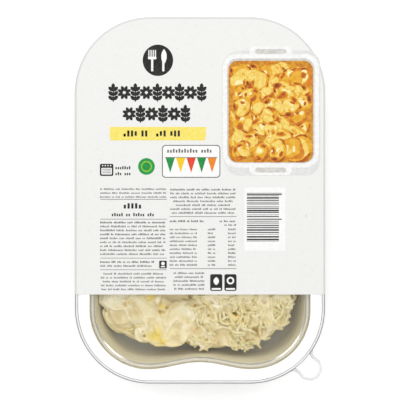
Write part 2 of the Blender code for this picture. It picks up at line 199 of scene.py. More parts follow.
# Studio: the camera frames what the photo does, with its pixels this large on the pack
PHOTO_PIXELS = 400
PIXEL = 0.6107 * MM
CAMERA_DISTANCE = 1.6
CAMERA_Y = 0.3 * MM
SENSOR = 36
FLOOR_SIZE = 4
FLOOR_Z = -0.2 * MM
FLOOR_GLOW = 0.2
SKY_STRENGTH = 0.45
# Softboxes: azimuth and elevation in degrees, distance, width and height in metres, and power
SOFTBOXES = {
    "top": (0, 90, 2.5, 2.0, 2.0, 24.0),
    "right": (48, 30, 1.2, 0.45, 0.4, 2.4),
    "left": (138, 30, 1.2, 0.7, 0.4, 2.8),
    "front": (-90, 52, 1.2, 0.9, 0.7, 2.0),
    "back": (90, 62, 1.2, 0.9, 0.7, 1.4),
}

# Fineness of the outlines
CORNER_STEPS = 24
ROUNDING_STEPS = 8
END_STEPS = 32
FILM_CORNER_STEPS = 240


def linear(value):
    """A display value in 0 to 255 as the linear value that the shader takes."""
    value /= 255
    return value / 12.92 if value <= 0.04045 else ((value + 0.055) / 1.055) ** 2.4


class Finish:
    """A Principled material whose display colours are toned by an exposure, and the nodes that vary it."""

    def __init__(self, name, exposure=1.0, **sockets):
        self.material = bpy.data.materials.new(name)
        self.material.use_nodes = True
        self.tree = self.material.node_tree
        self.shader = self.tree.nodes["Principled BSDF"]
        self.exposure = exposure
        self.feed(self.shader, sockets)
        self.places = self.node("TexCoord", "Object")

    def feed(self, node, values):
        """Sets these inputs of the node, numbered or named with underscores, or links them to outputs."""
        for key, value in values.items():
            socket = node.inputs[key if isinstance(key, int) else key.replace("_", " ")]
            if isinstance(value, bpy.types.NodeSocket):
                self.tree.links.new(value, socket)
            else:
                socket.default_value = value

    def node(self, kind, output, settings=None, *in_order, **by_name):
        """Adds a node with these settings and inputs, and returns its output of this name."""
        node = self.tree.nodes.new("ShaderNode" + kind)
        for setting, value in (settings or {}).items():
            setattr(node, setting, value)
        self.feed(node, {**dict(enumerate(in_order)), **by_name})
        return node.outputs[output]

    def link(self, output, socket):
        self.tree.links.new(output, self.shader.inputs[socket])

    def noise(self, size, detail=2.0, stretch=(1, 1, 1), distortion=0.0):
        """Soft noise with features of this size."""
        sizes = {"Scale": 1 / size, "Detail": detail, "Distortion": distortion}
        places = self.node("Mapping", "Vector", Scale=stretch, Vector=self.places)
        return self.node("TexNoise", "Fac", Vector=places, **sizes)

    def attribute(self, name):
        return self.node("Attribute", "Fac", {"attribute_name": name})

    def between(self, factor, low, high, to_low=0.0, to_high=1.0):
        """Maps low to high of the factor onto two other values, smoothly."""
        ends = {"From_Min": low, "From_Max": high, "To_Min": to_low, "To_Max": to_high}
        return self.node("MapRange", "Result", {"interpolation_type": "SMOOTHSTEP"}, Value=factor, **ends)

    def calculate(self, operation, *values):
        """A Math node of this operation on numbers and outputs."""
        return self.node("Math", "Value", {"operation": operation}, *values)

    def average(self, first, second):
        return self.calculate("MULTIPLY", self.calculate("ADD", first, second), 0.5)

    def toned(self, colour):
        """A display colour as the linear one that a socket takes; an output stays as it is."""
        if isinstance(colour, tuple):
            return tuple(self.exposure * linear(value) for value in colour) + (1.0,)
        return colour

    def mix(self, factor, first, second):
        """Blends two display colours, or the outputs of two mixes."""
        node = self.tree.nodes.new("ShaderNodeMix")
        node.data_type = "RGBA"
        start = next(i for i, socket in enumerate(node.inputs) if socket.type == "RGBA")
        self.feed(node, {"Factor": factor, start: self.toned(first), start + 1: self.toned(second)})
        return next(socket for socket in node.outputs if socket.type == "RGBA")

    def colour(self, factor, low, high):
        self.link(self.mix(factor, low, high), "Base Color")

    def roughen(self, factor, low, high):
        """Varies the roughness between two values, most of it where soft noise changes most."""
        self.link(self.between(factor, 0.3, 0.7, low, high), "Roughness")

    def bump(self, height, distance, strength):
        self.link(self.node("Bump", "Normal", Strength=strength, Distance=distance, Height=height), "Normal")


def lacquer(name, size, low, high, rough=None, **sockets):
    """The start of a finish for lacquer or foil, whose colour and roughness vary softly together."""
    finish = Finish(name, **sockets)
    tone = finish.noise(size, 3)
    finish.colour(tone, low, high)
    if rough:
        finish.roughen(tone, *rough)
    return finish


def inside_finishes():
    """The tray's finishes inside: bead, dark painted shade on the bead's inner flank, rim, ledge, inner lip,
    and wall with floor.
    """
    coat = {"Coat_Weight": 0.3, "Coat_Roughness": 0.1}
    thick_coat = {"Coat_Weight": 0.5, "Coat_Roughness": 0.12}
    bead = lacquer("bead lacquer", 7 * MM, (222, 222, 222), (236, 236, 235), Roughness=0.3, **coat)
    # Dark grey on the bead's inner flank, where it falls to the groove: painted shade
    flank_shade = lacquer("painted flank shade", 5 * MM, (136, 136, 137), (168, 168, 168), Metallic=0.3, Roughness=0.4)
    white = (250, 250, 248), (255, 255, 254)
    rim = lacquer("rim lacquer", 9 * MM, *white, (0.22, 0.36), Roughness=0.28, **coat)
    rim.bump(rim.noise(1.6 * MM), 0.02 * MM, 0.4)
    greige = (180, 173, 152), (201, 194, 173)
    ledge = lacquer("ledge lacquer", 14 * MM, *greige, (0.24, 0.34), Metallic=0.15, **thick_coat)
    lip = lacquer("burnished lip", 12 * MM, (206, 203, 195), (224, 221, 213), Metallic=0.85, Roughness=0.24)
    return [finish.material for finish in (bead, flank_shade, rim, ledge, lip, wall_lacquer())]


def wall_lacquer():
    """Satin lacquer on the wall and the floor, olive below the ledge, greyer and darker further down, where
    the darkening is painted shade.
    """
    finish = Finish("wall lacquer", Metallic=0.06, Specular_IOR_Level=0.25)
    draw = finish.noise(1.1 * MM, 3, stretch=(1, 1, 0.06))
    tone = finish.average(finish.noise(14 * MM, 3), draw)
    # Darker low tone, blended in towards the floor by height: painted shade
    deep = finish.mix(tone, (182, 181, 170), (198, 197, 186))
    high = finish.mix(tone, (224, 217, 188), (238, 232, 204))
    height = finish.node("SeparateXYZ", "Z", Vector=finish.places)
    finish.colour(finish.between(height, 2 * MM, 13 * MM), deep, high)
    finish.roughen(tone, 0.38, 0.48)
    finish.bump(draw, 0.015 * MM, 0.4)
    return finish


def foil_outside():
    """Bare satin foil with rolling lines and draw marks."""
    finish = Finish("foil outside", Metallic=0.95, Roughness=0.34)
    draw = finish.noise(1.4 * MM, 3, stretch=(1, 1, 0.05))
    tone = finish.average(finish.noise(0.5 * MM, 3, stretch=(1, 0.03, 1)), draw)
    finish.colour(tone, (186, 184, 178), (214, 212, 206))
    finish.roughen(tone, 0.28, 0.42)
    finish.bump(draw, 0.03 * MM, 0.5)
    return finish.material


def clear_film():
    """Clear film: the alpha is its share of mirror gloss, which grows where it is seen edge on."""
    finish = Finish("clear film", Metallic=1.0, Roughness=0.07, Base_Color=(0.86, 0.88, 0.88, 1.0))
    steep = finish.calculate("POWER", finish.node("LayerWeight", "Facing", Blend=0.5), 5)
    finish.link(finish.calculate("MULTIPLY_ADD", steep, 1 - FILM_GLOSS, FILM_GLOSS), "Alpha")
    finish.bump(finish.noise(16 * MM), 0.1 * MM, 0.5)
    return finish.material


def edge_shade(name, share, fades=False):
    """A grey painted shade along the film's edge, which hides this share of what lies below it, or less
    further inwards.
    """
    finish = lacquer(name, 8 * MM, (150, 152, 154), (176, 178, 179), Roughness=0.3, Alpha=share)
    if fades:
        inner = FADED_EDGE_SHADE * share
        faded = finish.calculate("MULTIPLY_ADD", finish.attribute("at_edge"), share - inner, inner)
        finish.link(faded, "Alpha")
    return finish.material


def label_paper():
    """Off-white print ground with faint grey and straw fibres, and grey painted shade where it bends down at
    its edge.
    """
    finish = Finish("label paper", PRINT_EXPOSURE, Roughness=0.62, Specular_IOR_Level=0.25)
    ground = finish.mix(finish.noise(3 * MM, 3), (240, 240, 237), (245, 245, 243))
    grey = finish.between(finish.noise(0.9 * MM, distortion=1.5), 0.66, 0.76)
    straw = finish.between(finish.noise(1.3 * MM, 1, stretch=(1, 0.5, 1), distortion=2.0), 0.72, 0.8)
    specked = finish.mix(grey, ground, (212, 211, 207))
    paper = finish.mix(straw, specked, (222, 214, 192))
    # Grey where the label bends down at its edge: painted shade
    finish.colour(finish.attribute("at_edge"), paper, (222, 222, 220))
    finish.bump(finish.noise(PRINT_GRAIN), 0.01 * MM, 0.3)
    return finish.material


def moist(name, depth):
    """The start of a finish for cream or cheese that light enters this deep."""
    scatter = {"Subsurface_Weight": 0.5, "Subsurface_Scale": depth, "Subsurface_Radius": (1.0, 0.92, 0.78)}
    return Finish(name, Specular_IOR_Level=0.4, **scatter)


def cream_sauce():
    """Clouded cream sauce, with whiter spots, tan potato, butter pools and ochre painted shade in the
    hollows.
    """
    finish = moist("cream sauce", 1.1 * MM)
    cloud = finish.between(finish.noise(6 * MM, 3, distortion=0.6), 0.3, 0.7)
    tint = finish.mix(cloud, (229, 214, 162), (237, 226, 190))
    for name, colour in (
        ("white", (240, 233, 204)),
        ("potato", (206, 182, 122)),
        ("butter", (232, 208, 92)),
        # Ochre where the surface lies deep: painted shade
        ("hollow_shade", (196, 167, 82)),
    ):
        tint = finish.mix(finish.attribute(name), tint, colour)
    finish.link(tint, "Base Color")
    finish.roughen(finish.noise(3 * MM), 0.34, 0.52)
    finish.bump(finish.noise(0.9 * MM, 3), 0.06 * MM, 0.5)
    return finish.material


def grated_cheese():
    """Pale grated cheese, in tints that change from shred to shred, with ochre painted shade where it lies
    deep.
    """
    finish = moist("grated cheese", 0.6 * MM)
    fresh = finish.mix(finish.attribute("tone"), (231, 215, 152), (239, 227, 180))
    # Ochre painted shade where the cheese lies deep
    finish.colour(finish.attribute("hollow_shade"), fresh, (202, 176, 94))
    finish.roughen(finish.noise(3 * MM), 0.34, 0.48)
    finish.bump(finish.noise(0.5 * MM), 0.03 * MM, 0.5)
    return finish.material


def ink_finish(name, low, high):
    """Matt printing ink that varies between two colours."""
    finish = Finish(name, PRINT_EXPOSURE, Roughness=0.55, Specular_IOR_Level=0.25)
    finish.colour(finish.between(finish.noise(2 * MM, 3), 0.35, 0.65), low, high)
    finish.bump(finish.noise(PRINT_GRAIN), 0.01 * MM, 0.3)
    return finish.material


def floor_finish():
    glow = {"Emission_Color": WHITE, "Emission_Strength": FLOOR_GLOW}
    finish = Finish("studio floor", Roughness=0.9, Specular_IOR_Level=0.1, **glow)
    finish.colour(finish.noise(0.5), (253, 253, 253), (255, 255, 255))
    return finish.material


def place_piece(mesh, name, replaced=None):
    """Makes an object of a finished mesh, on the pack's body."""
    piece = bpy.data.objects.new(name, mesh)
    bpy.context.scene.collection.objects.link(piece)
    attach(piece, "root")
    if replaced:
        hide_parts(replaced)
    return piece


def mesh_from(bm, name, *finishes, smooth=True):
    """Turns the bmesh into a mesh with these finishes, and frees it."""
    mesh = bpy.data.meshes.new(name)
    bm.to_mesh(mesh)
    bm.free()
    if smooth:
        mesh.shade_smooth()
    for finish in finishes:
        mesh.materials.append(finish)
    return mesh


def evaluated(mesh, *modifiers):
    """The mesh with these modifiers applied, each given as its type and its settings."""
    obj = bpy.data.objects.new("draft", mesh)
    bpy.context.scene.collection.objects.link(obj)
    for kind, settings in modifiers:
        modifier = obj.modifiers.new(kind, kind)
        for setting, value in settings.items():
            setattr(modifier, setting, value)
    graph = bpy.context.evaluated_depsgraph_get()
    result = bpy.data.meshes.new_from_object(obj.evaluated_get(graph))
    bpy.data.objects.remove(obj)
    return result


def of_type(items, kind):
    return [item for item in items if isinstance(item, kind)]


def vertex_places(mesh):
    """The places of the mesh's vertices, as an array with a row for each."""
    flat = np.empty(len(mesh.vertices) * 3)
    mesh.vertices.foreach_get("co", flat)
    return flat.reshape(-1, 3)


def store(mesh, name, values):
    """Stores a value for each vertex, for the finishes."""
    mesh.attributes.new(name, "FLOAT", "POINT").data.foreach_set("value", values)


def turn_up(bm, faces):
    """Makes all normals agree, so that these faces look upwards."""
    bmesh.ops.recalc_face_normals(bm, faces=bm.faces)
    if sum(face.normal.z for face in faces) < 0:
        bmesh.ops.reverse_faces(bm, faces=bm.faces)


def cut_away(bm, place, normal):
    """Cuts away what lies behind this plane."""
    geometry = bm.verts[:] + bm.edges[:] + bm.faces[:]
    bmesh.ops.bisect_plane(bm, geom=geometry, plane_co=place, plane_no=normal, clear_inner=True)


def arc(centre, radius, start, end, steps):
    angles = [start + (end - start) * i / steps for i in range(steps + 1)]
    return [Vector((centre[0] + radius * math.cos(a), centre[1] + radius * math.sin(a))) for a in angles]


def turned(x, y, along, aside, turn):
    """The place that lies this far along and aside of x and y, in a frame that is turned."""
    east = x + along * math.cos(turn) - aside * math.sin(turn)
    return east, y + along * math.sin(turn) + aside * math.cos(turn)


def outline(half_width, half_length, corner, dent=0.0, corner_steps=CORNER_STEPS):
    """A rounded rectangle, anticlockwise, whose ends dip inwards by dent at the middle."""
    inner_x = half_width - corner
    inner_y = half_length - corner
    across = [inner_x * (1 - 2 * i / END_STEPS) for i in range(1, END_STEPS)]
    end = [Vector((x, half_length - dent * (1 + math.cos(math.pi * x / inner_x)) / 2)) for x in across]
    points = arc((inner_x, inner_y), corner, 0, QUARTER, corner_steps)
    points += end
    points += arc((-inner_x, inner_y), corner, QUARTER, 2 * QUARTER, corner_steps)
    return points + [-p for p in points]


def into_rounded_box(x, y, reach_x, reach_y, corner):
    """Moves a place in until it lies inside the rounded rectangle that reaches this far from the middle."""
    core_x, core_y = reach_x - corner, reach_y - corner
    out = Vector((max(abs(x) - core_x, 0), max(abs(y) - core_y, 0)))
    if out.length > corner:
        out *= corner / out.length
    return math.copysign(min(abs(x), core_x) + out.x, x), math.copysign(min(abs(y), core_y) + out.y, y)


def at_height(points, height):
    return [Vector((p.x, p.y, height)) for p in points]


def rim_ring(inset, depth):
    points = outline(HALF_WIDTH - inset, HALF_LENGTH - inset, PACK_CORNER - inset)
    return at_height(points, RIM_HEIGHT - depth)


def cavity_ring(inset, depth):
    """A ring of the cavity, whose waist at the ends fades towards the floor."""
    fade = 1 - (1 - FLOOR_DENT_SHARE) * max(depth, 0) / RIM_HEIGHT
    sizes = (CAVITY_HALF_WIDTH - inset, CAVITY_HALF_LENGTH - inset, CAVITY_CORNER - inset)
    return at_height(outline(*sizes, END_DENT * fade), RIM_HEIGHT - depth)


def rounded(corners, steps):
    """A section through these corners, each rounded off over its own run; the ends stay as they are."""
    path = [Vector(corners[0][0])]
    for (before, _), (corner, run), (after, _) in zip(corners, corners[1:], corners[2:]):
        corner = Vector(corner)
        start = corner + (Vector(before) - corner).normalized() * run
        end = corner + (Vector(after) - corner).normalized() * run
        for i in range(steps + 1):
            share = i / steps
            path.append(start.lerp(corner, share).lerp(corner.lerp(end, share), share))
    path.append(Vector(corners[-1][0]))
    return path


def loft(bm, rings, slot_of=lambda step: 0):
    """Extrudes the first ring from ring to ring, and returns the last ring's edges."""
    place = bm.verts.layers.int.new("place")
    ring_number = bm.verts.layers.int.new("ring")
    verts = [bm.verts.new(point) for point in rings[0]]
    for i, vert in enumerate(verts):
        vert[place] = i
    edges = [bm.edges.new((verts[i - 1], verts[i])) for i in range(len(verts))]
    for step, ring in enumerate(rings[1:]):
        made = bmesh.ops.extrude_edge_only(bm, edges=edges)["geom"]
        for vert in of_type(made, BMVert):
            vert.co = ring[vert[place]]
            vert[ring_number] = step + 1
        for face in of_type(made, BMFace):
            face.material_index = slot_of(step)
        edges = [edge for edge in of_type(made, BMEdge) if edge.is_boundary]
    return edges


def make_tray():
    """The foil tray as one sheet: white on the bead and the flange, greige in the cavity."""
    rings = [rim_ring(BEAD_RADIUS * (1 + math.cos(a)), BEAD_RADIUS * (1 - math.sin(a))) for a in BEAD_ANGLES]
    for share in (0.0, 0.25, 0.5, 0.75, 1.0):
        inset = GROOVE_START + (GROOVE_END - GROOVE_START) * share
        rings.append(rim_ring(inset, GROOVE_DEPTH * (1 + math.cos(math.pi * share)) / 2))
    floor_depth = RIM_HEIGHT - SHEET
    foot_inset = WALL_TOP[0] + (floor_depth - WALL_TOP[1]) * math.tan(WALL_DRAFT)
    section = rounded(
        [
            ((-2.5 * EDGE_ROUNDING, 0), 0),
            ((0, 0), EDGE_ROUNDING),
            (LEDGE_START, LEDGE_ROUNDING),
            (LEDGE_BREAK, LEDGE_ROUNDING),
            (WALL_TOP, WALL_TOP_ROUNDING),
            ((foot_inset, floor_depth), FLOOR_ROUNDING),
            ((foot_inset + 1.5 * FLOOR_ROUNDING, floor_depth), 0),
        ],
        ROUNDING_STEPS,
    )
    rim_end = len(rings) + ROUNDING_STEPS // 2
    lip_start = rim_end + 2 * (ROUNDING_STEPS + 1)
    lip_end = lip_start + ROUNDING_STEPS + 1
    rings += [cavity_ring(inset, depth) for inset, depth in section]
    inside = inside_finishes()
    bead, flank_shade, rim, ledge, lip, wall, foil = range(len(inside) + 1)

    def slot_of(step):
        if step < BARE_BEAD_STEPS:
            return foil
        if step <= FLANK_SHADE_STEP:
            return flank_shade if step == FLANK_SHADE_STEP else bead
        if step < rim_end:
            return rim
        if step < lip_start:
            return ledge
        return lip if step < lip_end else wall

    bm = bmesh.new()
    edges = loft(bm, rings, slot_of)
    floor = bmesh.ops.contextual_create(bm, geom=edges)["faces"]
    for face in floor:
        face.material_index = wall
    turn_up(bm, floor)
    mesh = mesh_from(bm, "foil_tray", *inside, *[foil_outside()] * len(inside))
    tray = place_piece(mesh, "foil_tray", "tray")
    sheet = tray.modifiers.new("sheet", "SOLIDIFY")
    sheet.thickness = SHEET
    sheet.offset = -1
    sheet.use_even_offset = True
    sheet.material_offset = len(inside)
    sheet.material_offset_rim = len(inside)


def tab_radius(angle):
    """Distance from the corner's centre to the film's edge, at this angle from the tab's middle."""
    fillet_reach = PACK_CORNER + TAB_FILLET
    neck = TAB_RADIUS + TAB_FILLET
    spread = math.acos((fillet_reach**2 + TAB_REACH**2 - neck**2) / (2 * fillet_reach * TAB_REACH))
    touch_x = TAB_REACH + (fillet_reach * math.cos(spread) - TAB_REACH) * TAB_RADIUS / neck
    touch_y = fillet_reach * math.sin(spread) * TAB_RADIUS / neck
    angle = abs(angle)
    if angle >= spread:
        return PACK_CORNER
    if angle <= math.atan2(touch_y, touch_x):
        across = TAB_REACH * math.sin(angle)
        return TAB_REACH * math.cos(angle) + math.sqrt(max(TAB_RADIUS**2 - across**2, 0))
    across = fillet_reach * math.sin(spread - angle)
    return fillet_reach * math.cos(spread - angle) - math.sqrt(max(TAB_FILLET**2 - across**2, 0))


def sheet_rings(top, with_tab=False):
    """Rings of a sheet that lies over the flange and bends down over the bead, from its edge inwards.

    On the tab the sheet stays level. Its first ring is the tab's edge there, and the second runs beside it.
    """
    centre = Vector((HALF_WIDTH - PACK_CORNER, PACK_CORNER - HALF_LENGTH))
    reach = BEAD_RADIUS + top - RIM_HEIGHT
    rings = []
    bends = [BEND_ANGLE + (FILM_EDGE_ANGLE - BEND_ANGLE) * i / EDGE_RINGS for i in range(EDGE_RINGS)]
    bends += [FILM_EDGE_ANGLE * (1 - i / BEND_RINGS) for i in range(BEND_RINGS + 1)]
    spots = [(BEAD_RADIUS - reach * math.sin(a), top - reach * (1 - math.cos(a))) for a in bends]
    spots += [(inset * MM, top) for inset in SHEET_INSETS]
    steps = FILM_CORNER_STEPS if with_tab else CORNER_STEPS
    for number, (inset, height) in enumerate(spots):
        sizes = (HALF_WIDTH - inset, HALF_LENGTH - inset, PACK_CORNER - inset)
        points = outline(*sizes, corner_steps=steps)
        ring = []
        for i, point in enumerate(points):
            away = point - centre
            angle = math.atan2(away.y, away.x) - TAB_DIRECTION
            lobe = tab_radius(angle) - PACK_CORNER if with_tab and away.x > 0 > away.y else 0
            level = height + (top - height) * min(lobe / TAB_FILLET, 1)
            if lobe > 0 and number < 2:
                away = away.normalized() * (away.length + lobe)
                if number == 1:
                    edge = rings[0]
                    along = (edge[i + 1] - edge[i - 1]).xy.normalized()
                    away = edge[i].xy + Vector((-along.y, along.x)) * TAB_EDGE - centre
                    away = away.normalized() * max(away.length, PACK_CORNER - inset)
                level += TAB_CURL * (max(away.length - PACK_CORNER, 0) / TAB_RADIUS) ** 2
                point = centre + away
            ring.append(Vector((point.x, point.y, level)))
        rings.append(ring)
    return rings


def make_sheet(name, node, top, thickness, finishes, with_tab=False, cut_y=None):
    """A sheet over the whole pack, or the part of it above the cut.

    The sheet with the tab has a second finish along its edge, and a third one along the tab's: both are grey
    painted shade.
    """
    bm = bmesh.new()
    edges = loft(bm, sheet_rings(top, with_tab), lambda step: int(with_tab and step < EDGE_RINGS))
    bmesh.ops.contextual_create(bm, geom=edges)
    at_edge = bm.verts.layers.float.new("at_edge")
    ring_number = bm.verts.layers.int["ring"]
    for vert in bm.verts:
        vert[at_edge] = vert[ring_number] < (1 if with_tab else EDGE_RINGS + BEND_RINGS)
    for face in bm.faces:
        place = face.calc_center_median()
        in_corner = min(place.x - HALF_WIDTH, -HALF_LENGTH - place.y) + PACK_CORNER > 0
        away = math.hypot(place.x - HALF_WIDTH + PACK_CORNER, place.y + HALF_LENGTH - PACK_CORNER)
        # On the tab, faces at its edge take the tab's grey painted shade, and the rest stays clear film
        if face.material_index and in_corner and away > PACK_CORNER:
            face.material_index = 2 if any(vert[at_edge] for vert in face.verts) else 0
    if cut_y is not None:
        cut_away(bm, (0, cut_y, 0), (0, 1, 0))
    turn_up(bm, bm.faces)
    mesh = evaluated(mesh_from(bm, "draft", *finishes), ("SOLIDIFY", {"thickness": thickness, "offset": -1}))
    mesh.name = name
    mesh.set_sharp_from_angle(angle=SHARP_ANGLE)
    place_piece(mesh, name, node)


def make_film():
    finishes = (clear_film(), edge_shade("film edge", EDGE_SHADE_ALPHA), edge_shade("tab edge", TAB_SHADE_ALPHA, fades=True))
    make_sheet("lidding_film", "lid_film", FILM_TOP, FILM, finishes, with_tab=True)


def make_label():
    make_sheet("label_sheet", "label", LABEL_TOP, LABEL, (label_paper(),), cut_y=LABEL_EDGE_Y)


class Ink:
    """Everything printed in one colour, as thin solids that sink into the label.

    Places and sizes are in millimetres.
    """

    def __init__(self, name, finish, layer):
        self.name = name
        self.finish = finish
        self.bm = bmesh.new()
        self.base = LABEL_TOP - INK_SUNK
        self.full_height = INK_SUNK + INK_PROUD + layer * INK_LAYER
        self.shapes = 0

    @property
    def height(self):
        """The next shape's height, a hair above the one before, so that none lie level where they cross."""
        self.shapes += 1
        return self.full_height + (self.shapes % INK_STEPS) * INK_LAYER / INK_STEPS / 2

    def bar(self, x, y, width, height):
        """A rectangle about its middle."""
        rise = self.height
        matrix = Matrix.Translation((x * MM, y * MM, self.base + rise / 2))
        matrix @= Matrix.Diagonal((width * MM, height * MM, rise, 1))
        bmesh.ops.create_cube(self.bm, size=1, matrix=matrix)

    def span(self, left, bottom, right, top):
        self.bar((left + right) / 2, (bottom + top) / 2, right - left, top - bottom)

    def raise_face(self, verts, over=None):
        """Makes a solid of the face that these vertices bound, up to a height of its own or the next one."""
        made = bmesh.ops.extrude_face_region(self.bm, geom=[verts[0].link_faces[0]])["geom"]
        rise = self.height if over is None else self.full_height + over
        bmesh.ops.translate(self.bm, verts=of_type(made, BMVert), vec=(0, 0, rise))

    def disc(self, x, y, radius, stretch=1.0, sides=20):
        matrix = Matrix.Translation((x * MM, y * MM, self.base))
        matrix @= Matrix.Diagonal((radius * MM, radius * stretch * MM, 1, 1))
        made = bmesh.ops.create_circle(self.bm, cap_ends=True, segments=sides, radius=1, matrix=matrix)
        self.raise_face(made["verts"])

    def shape(self, points, over=None):
        """A flat shape with this outline."""
        verts = [self.bm.verts.new((p[0] * MM, p[1] * MM, self.base)) for p in points]
        bmesh.ops.contextual_create(self.bm, geom=verts)
        self.raise_face(verts, over)

    def plate(self, x, y, width, height, corner, sides=6):
        """A rectangle with rounded corners."""
        points = []
        inner_x, inner_y = width / 2 - corner, height / 2 - corner
        for i, (sign_x, sign_y) in enumerate(((1, 1), (-1, 1), (-1, -1), (1, -1))):
            centre = (x + sign_x * inner_x, y + sign_y * inner_y)
            points += arc(centre, corner, i * QUARTER, (i + 1) * QUARTER, sides)
        self.shape(points)

    def leaf(self, x, y, length, width, turn, sides=14):
        """A leaf with two pointed ends, whose stalk end is at this place."""
        points = []
        for angle in [TURN * i / sides for i in range(sides)]:
            along = (1 - math.cos(angle)) / 2 * length
            aside = math.sin(angle) * abs(math.sin(angle)) ** 0.5 * width / 2
            points.append(turned(x, y, along, aside, turn))
        self.shape(points)

    def blob(self, x, y, radius, rng, over, stretch, turn, sides=24):
        """An oval with an uneven edge, at a height of its own, kept inside the picture's dish."""
        two, three, five = (rng.uniform(0, TURN) for _ in range(3))
        middle_x, middle_y = DISH_MIDDLE
        points = []
        for angle in [TURN * i / sides for i in range(sides)]:
            uneven = 1 + 0.09 * math.sin(2 * angle + two) + 0.08 * math.sin(3 * angle + three)
            reach = radius * (uneven + 0.05 * math.sin(5 * angle + five))
            along, aside = reach * math.cos(angle), reach * stretch * math.sin(angle)
            place = turned(x - middle_x, y - middle_y, along, aside, turn)
            east, north = into_rounded_box(*place, *DISH_REACH, DISH_CORNER)
            points.append((middle_x + east, middle_y + north))
        self.shape(points, over)

    def finish_print(self):
        bmesh.ops.recalc_face_normals(self.bm, faces=self.bm.faces)
        place_piece(mesh_from(self.bm, self.name, self.finish, smooth=False), self.name)


def small_print(ink, rng, left, right, y, size=1.0, centred=False):
    """A row of small upright ticks in groups as long as words, which reads as small print from afar."""
    tick, pitch, gap = 0.42 * size, 0.72 * size, 0.75 * size
    ticks = []
    x = left
    while int((right - x) / pitch) >= 2:
        room = int((right - x) / pitch)
        for _ in range(min(rng.choice((2, 3, 4, 5, 6, 7, 8, 9, 11)), room)):
            tall = rng.choice((0.72, 0.72, 0.72, 1.0, 1.0)) * size
            ticks.append((x + tick / 2, y - 0.5 * size + tall / 2, tick, tall))
            x += pitch
        x += gap
        if centred and right - x < rng.uniform(0, 0.22) * (right - left):
            break
    shift = (right - (x - gap)) / 2 if centred else 0
    for tick_x, tick_y, width, height in ticks:
        ink.bar(tick_x + shift, tick_y, width, height)


def sprig(ink, x, y, height):
    """An upright stem with pairs of leaves."""
    ink.bar(x, y, 0.8, height)
    for level in (-0.42, -0.17, 0.08):
        for side in (-1, 1):
            ink.leaf(x, y + level * height, 3.9, 2.3, QUARTER - side * math.radians(48))
    ink.leaf(x, y + 0.2 * height, 0.32 * height, 2.3, QUARTER)


def rosette(ink, x, y, size, petals=8):
    for i in range(petals):
        turn = TURN * (i + 0.5) / petals
        stalk = (x + 0.09 * size * math.cos(turn), y + 0.09 * size * math.sin(turn))
        ink.leaf(*stalk, 0.42 * size, 0.24 * size, turn)


def print_front(inks, rng):
    """The upper half: round mark, ornament rows, yellow band, symbols and the row of pennants."""
    black, white = inks["black"], inks["white"]
    black.disc(-25.7, 85.6, 9.3, 1.03, sides=40)
    white.bar(-29.2, 82.6, 1.3, 7.4)
    white.plate(-29.2, 87.0, 5.2, 1.6, 0.7)
    for i in range(4):
        white.bar(-31.2 + 1.33 * i, 89.6, 0.7, 4.6)
    white.bar(-22.4, 81.8, 1.3, 5.8)
    white.leaf(-22.0, 83.4, 9.0, 3.4, QUARTER)

    for count, left, pitch, y, height, first in (
        (9, -53.0, 6.75, 65.9, 11.0, 0),
        (6, -43.2, 6.85, 52.9, 10.8, 1),
    ):
        for i in range(count):
            if (i + first) % 2:
                rosette(black, left + pitch * i, y, 8.6)
            else:
                sprig(black, left + pitch * i, y, height)

    yellow = inks["yellow"]
    for i, (left, right) in enumerate(((-54.6, 3.1), (-55.3, 3.9), (-54.9, 3.5), (-55.1, 3.8))):
        yellow.span(left, 36.7 + 2.05 * i, right, 38.8 + 2.05 * i)
    x = -46.0
    for letters in (4, 7, 5):
        for _ in range(letters):
            black.bar(x, 40.9, 1.35, rng.choice((3.7, 3.7, 2.8)))
            x += 2.25
        x += 1.9

    black.plate(-57.0, 18.7, 8.2, 7.4, 0.9)
    white.plate(-57.0, 17.9, 6.4, 4.0, 0.5)
    black_top = inks["black_top"]
    for level in (16.9, 18.0, 19.1):
        black_top.bar(-57.0, level, 5.4, 0.35)
    for i in range(4):
        white.disc(-59.4 + 1.6 * i, 21.3, 0.42, sides=10)
    for y in (20.0, 16.4):
        small_print(black, rng, -51.6, -41.0, y, 1.9)
    for colour, radius, sides in (("green", 5.1, 32), ("light_green", 3.4, 28), ("green_top", 2.5, 24)):
        inks[colour].disc(-32.7, 20.8, radius, sides=sides)

    inks["grey"].plate(-5.4, 23.9, 35.6, 20.0, 2.2)
    white.plate(-5.4, 23.9, 34.6, 19.0, 1.8)
    small_print(inks["grey_top"], rng, -20.0, 9.0, 30.4, 2.4)
    inks["grey_top"].bar(-5.4, 26.3, 32.0, 0.35)
    for i, colour in enumerate(("green_top", "yellow_top", "red", "green_top", "orange")):
        x = -18.2 + 6.4 * i
        inks[colour].shape([(x - 2.8, 26.1), (x, 17.0), (x + 2.8, 26.1)])


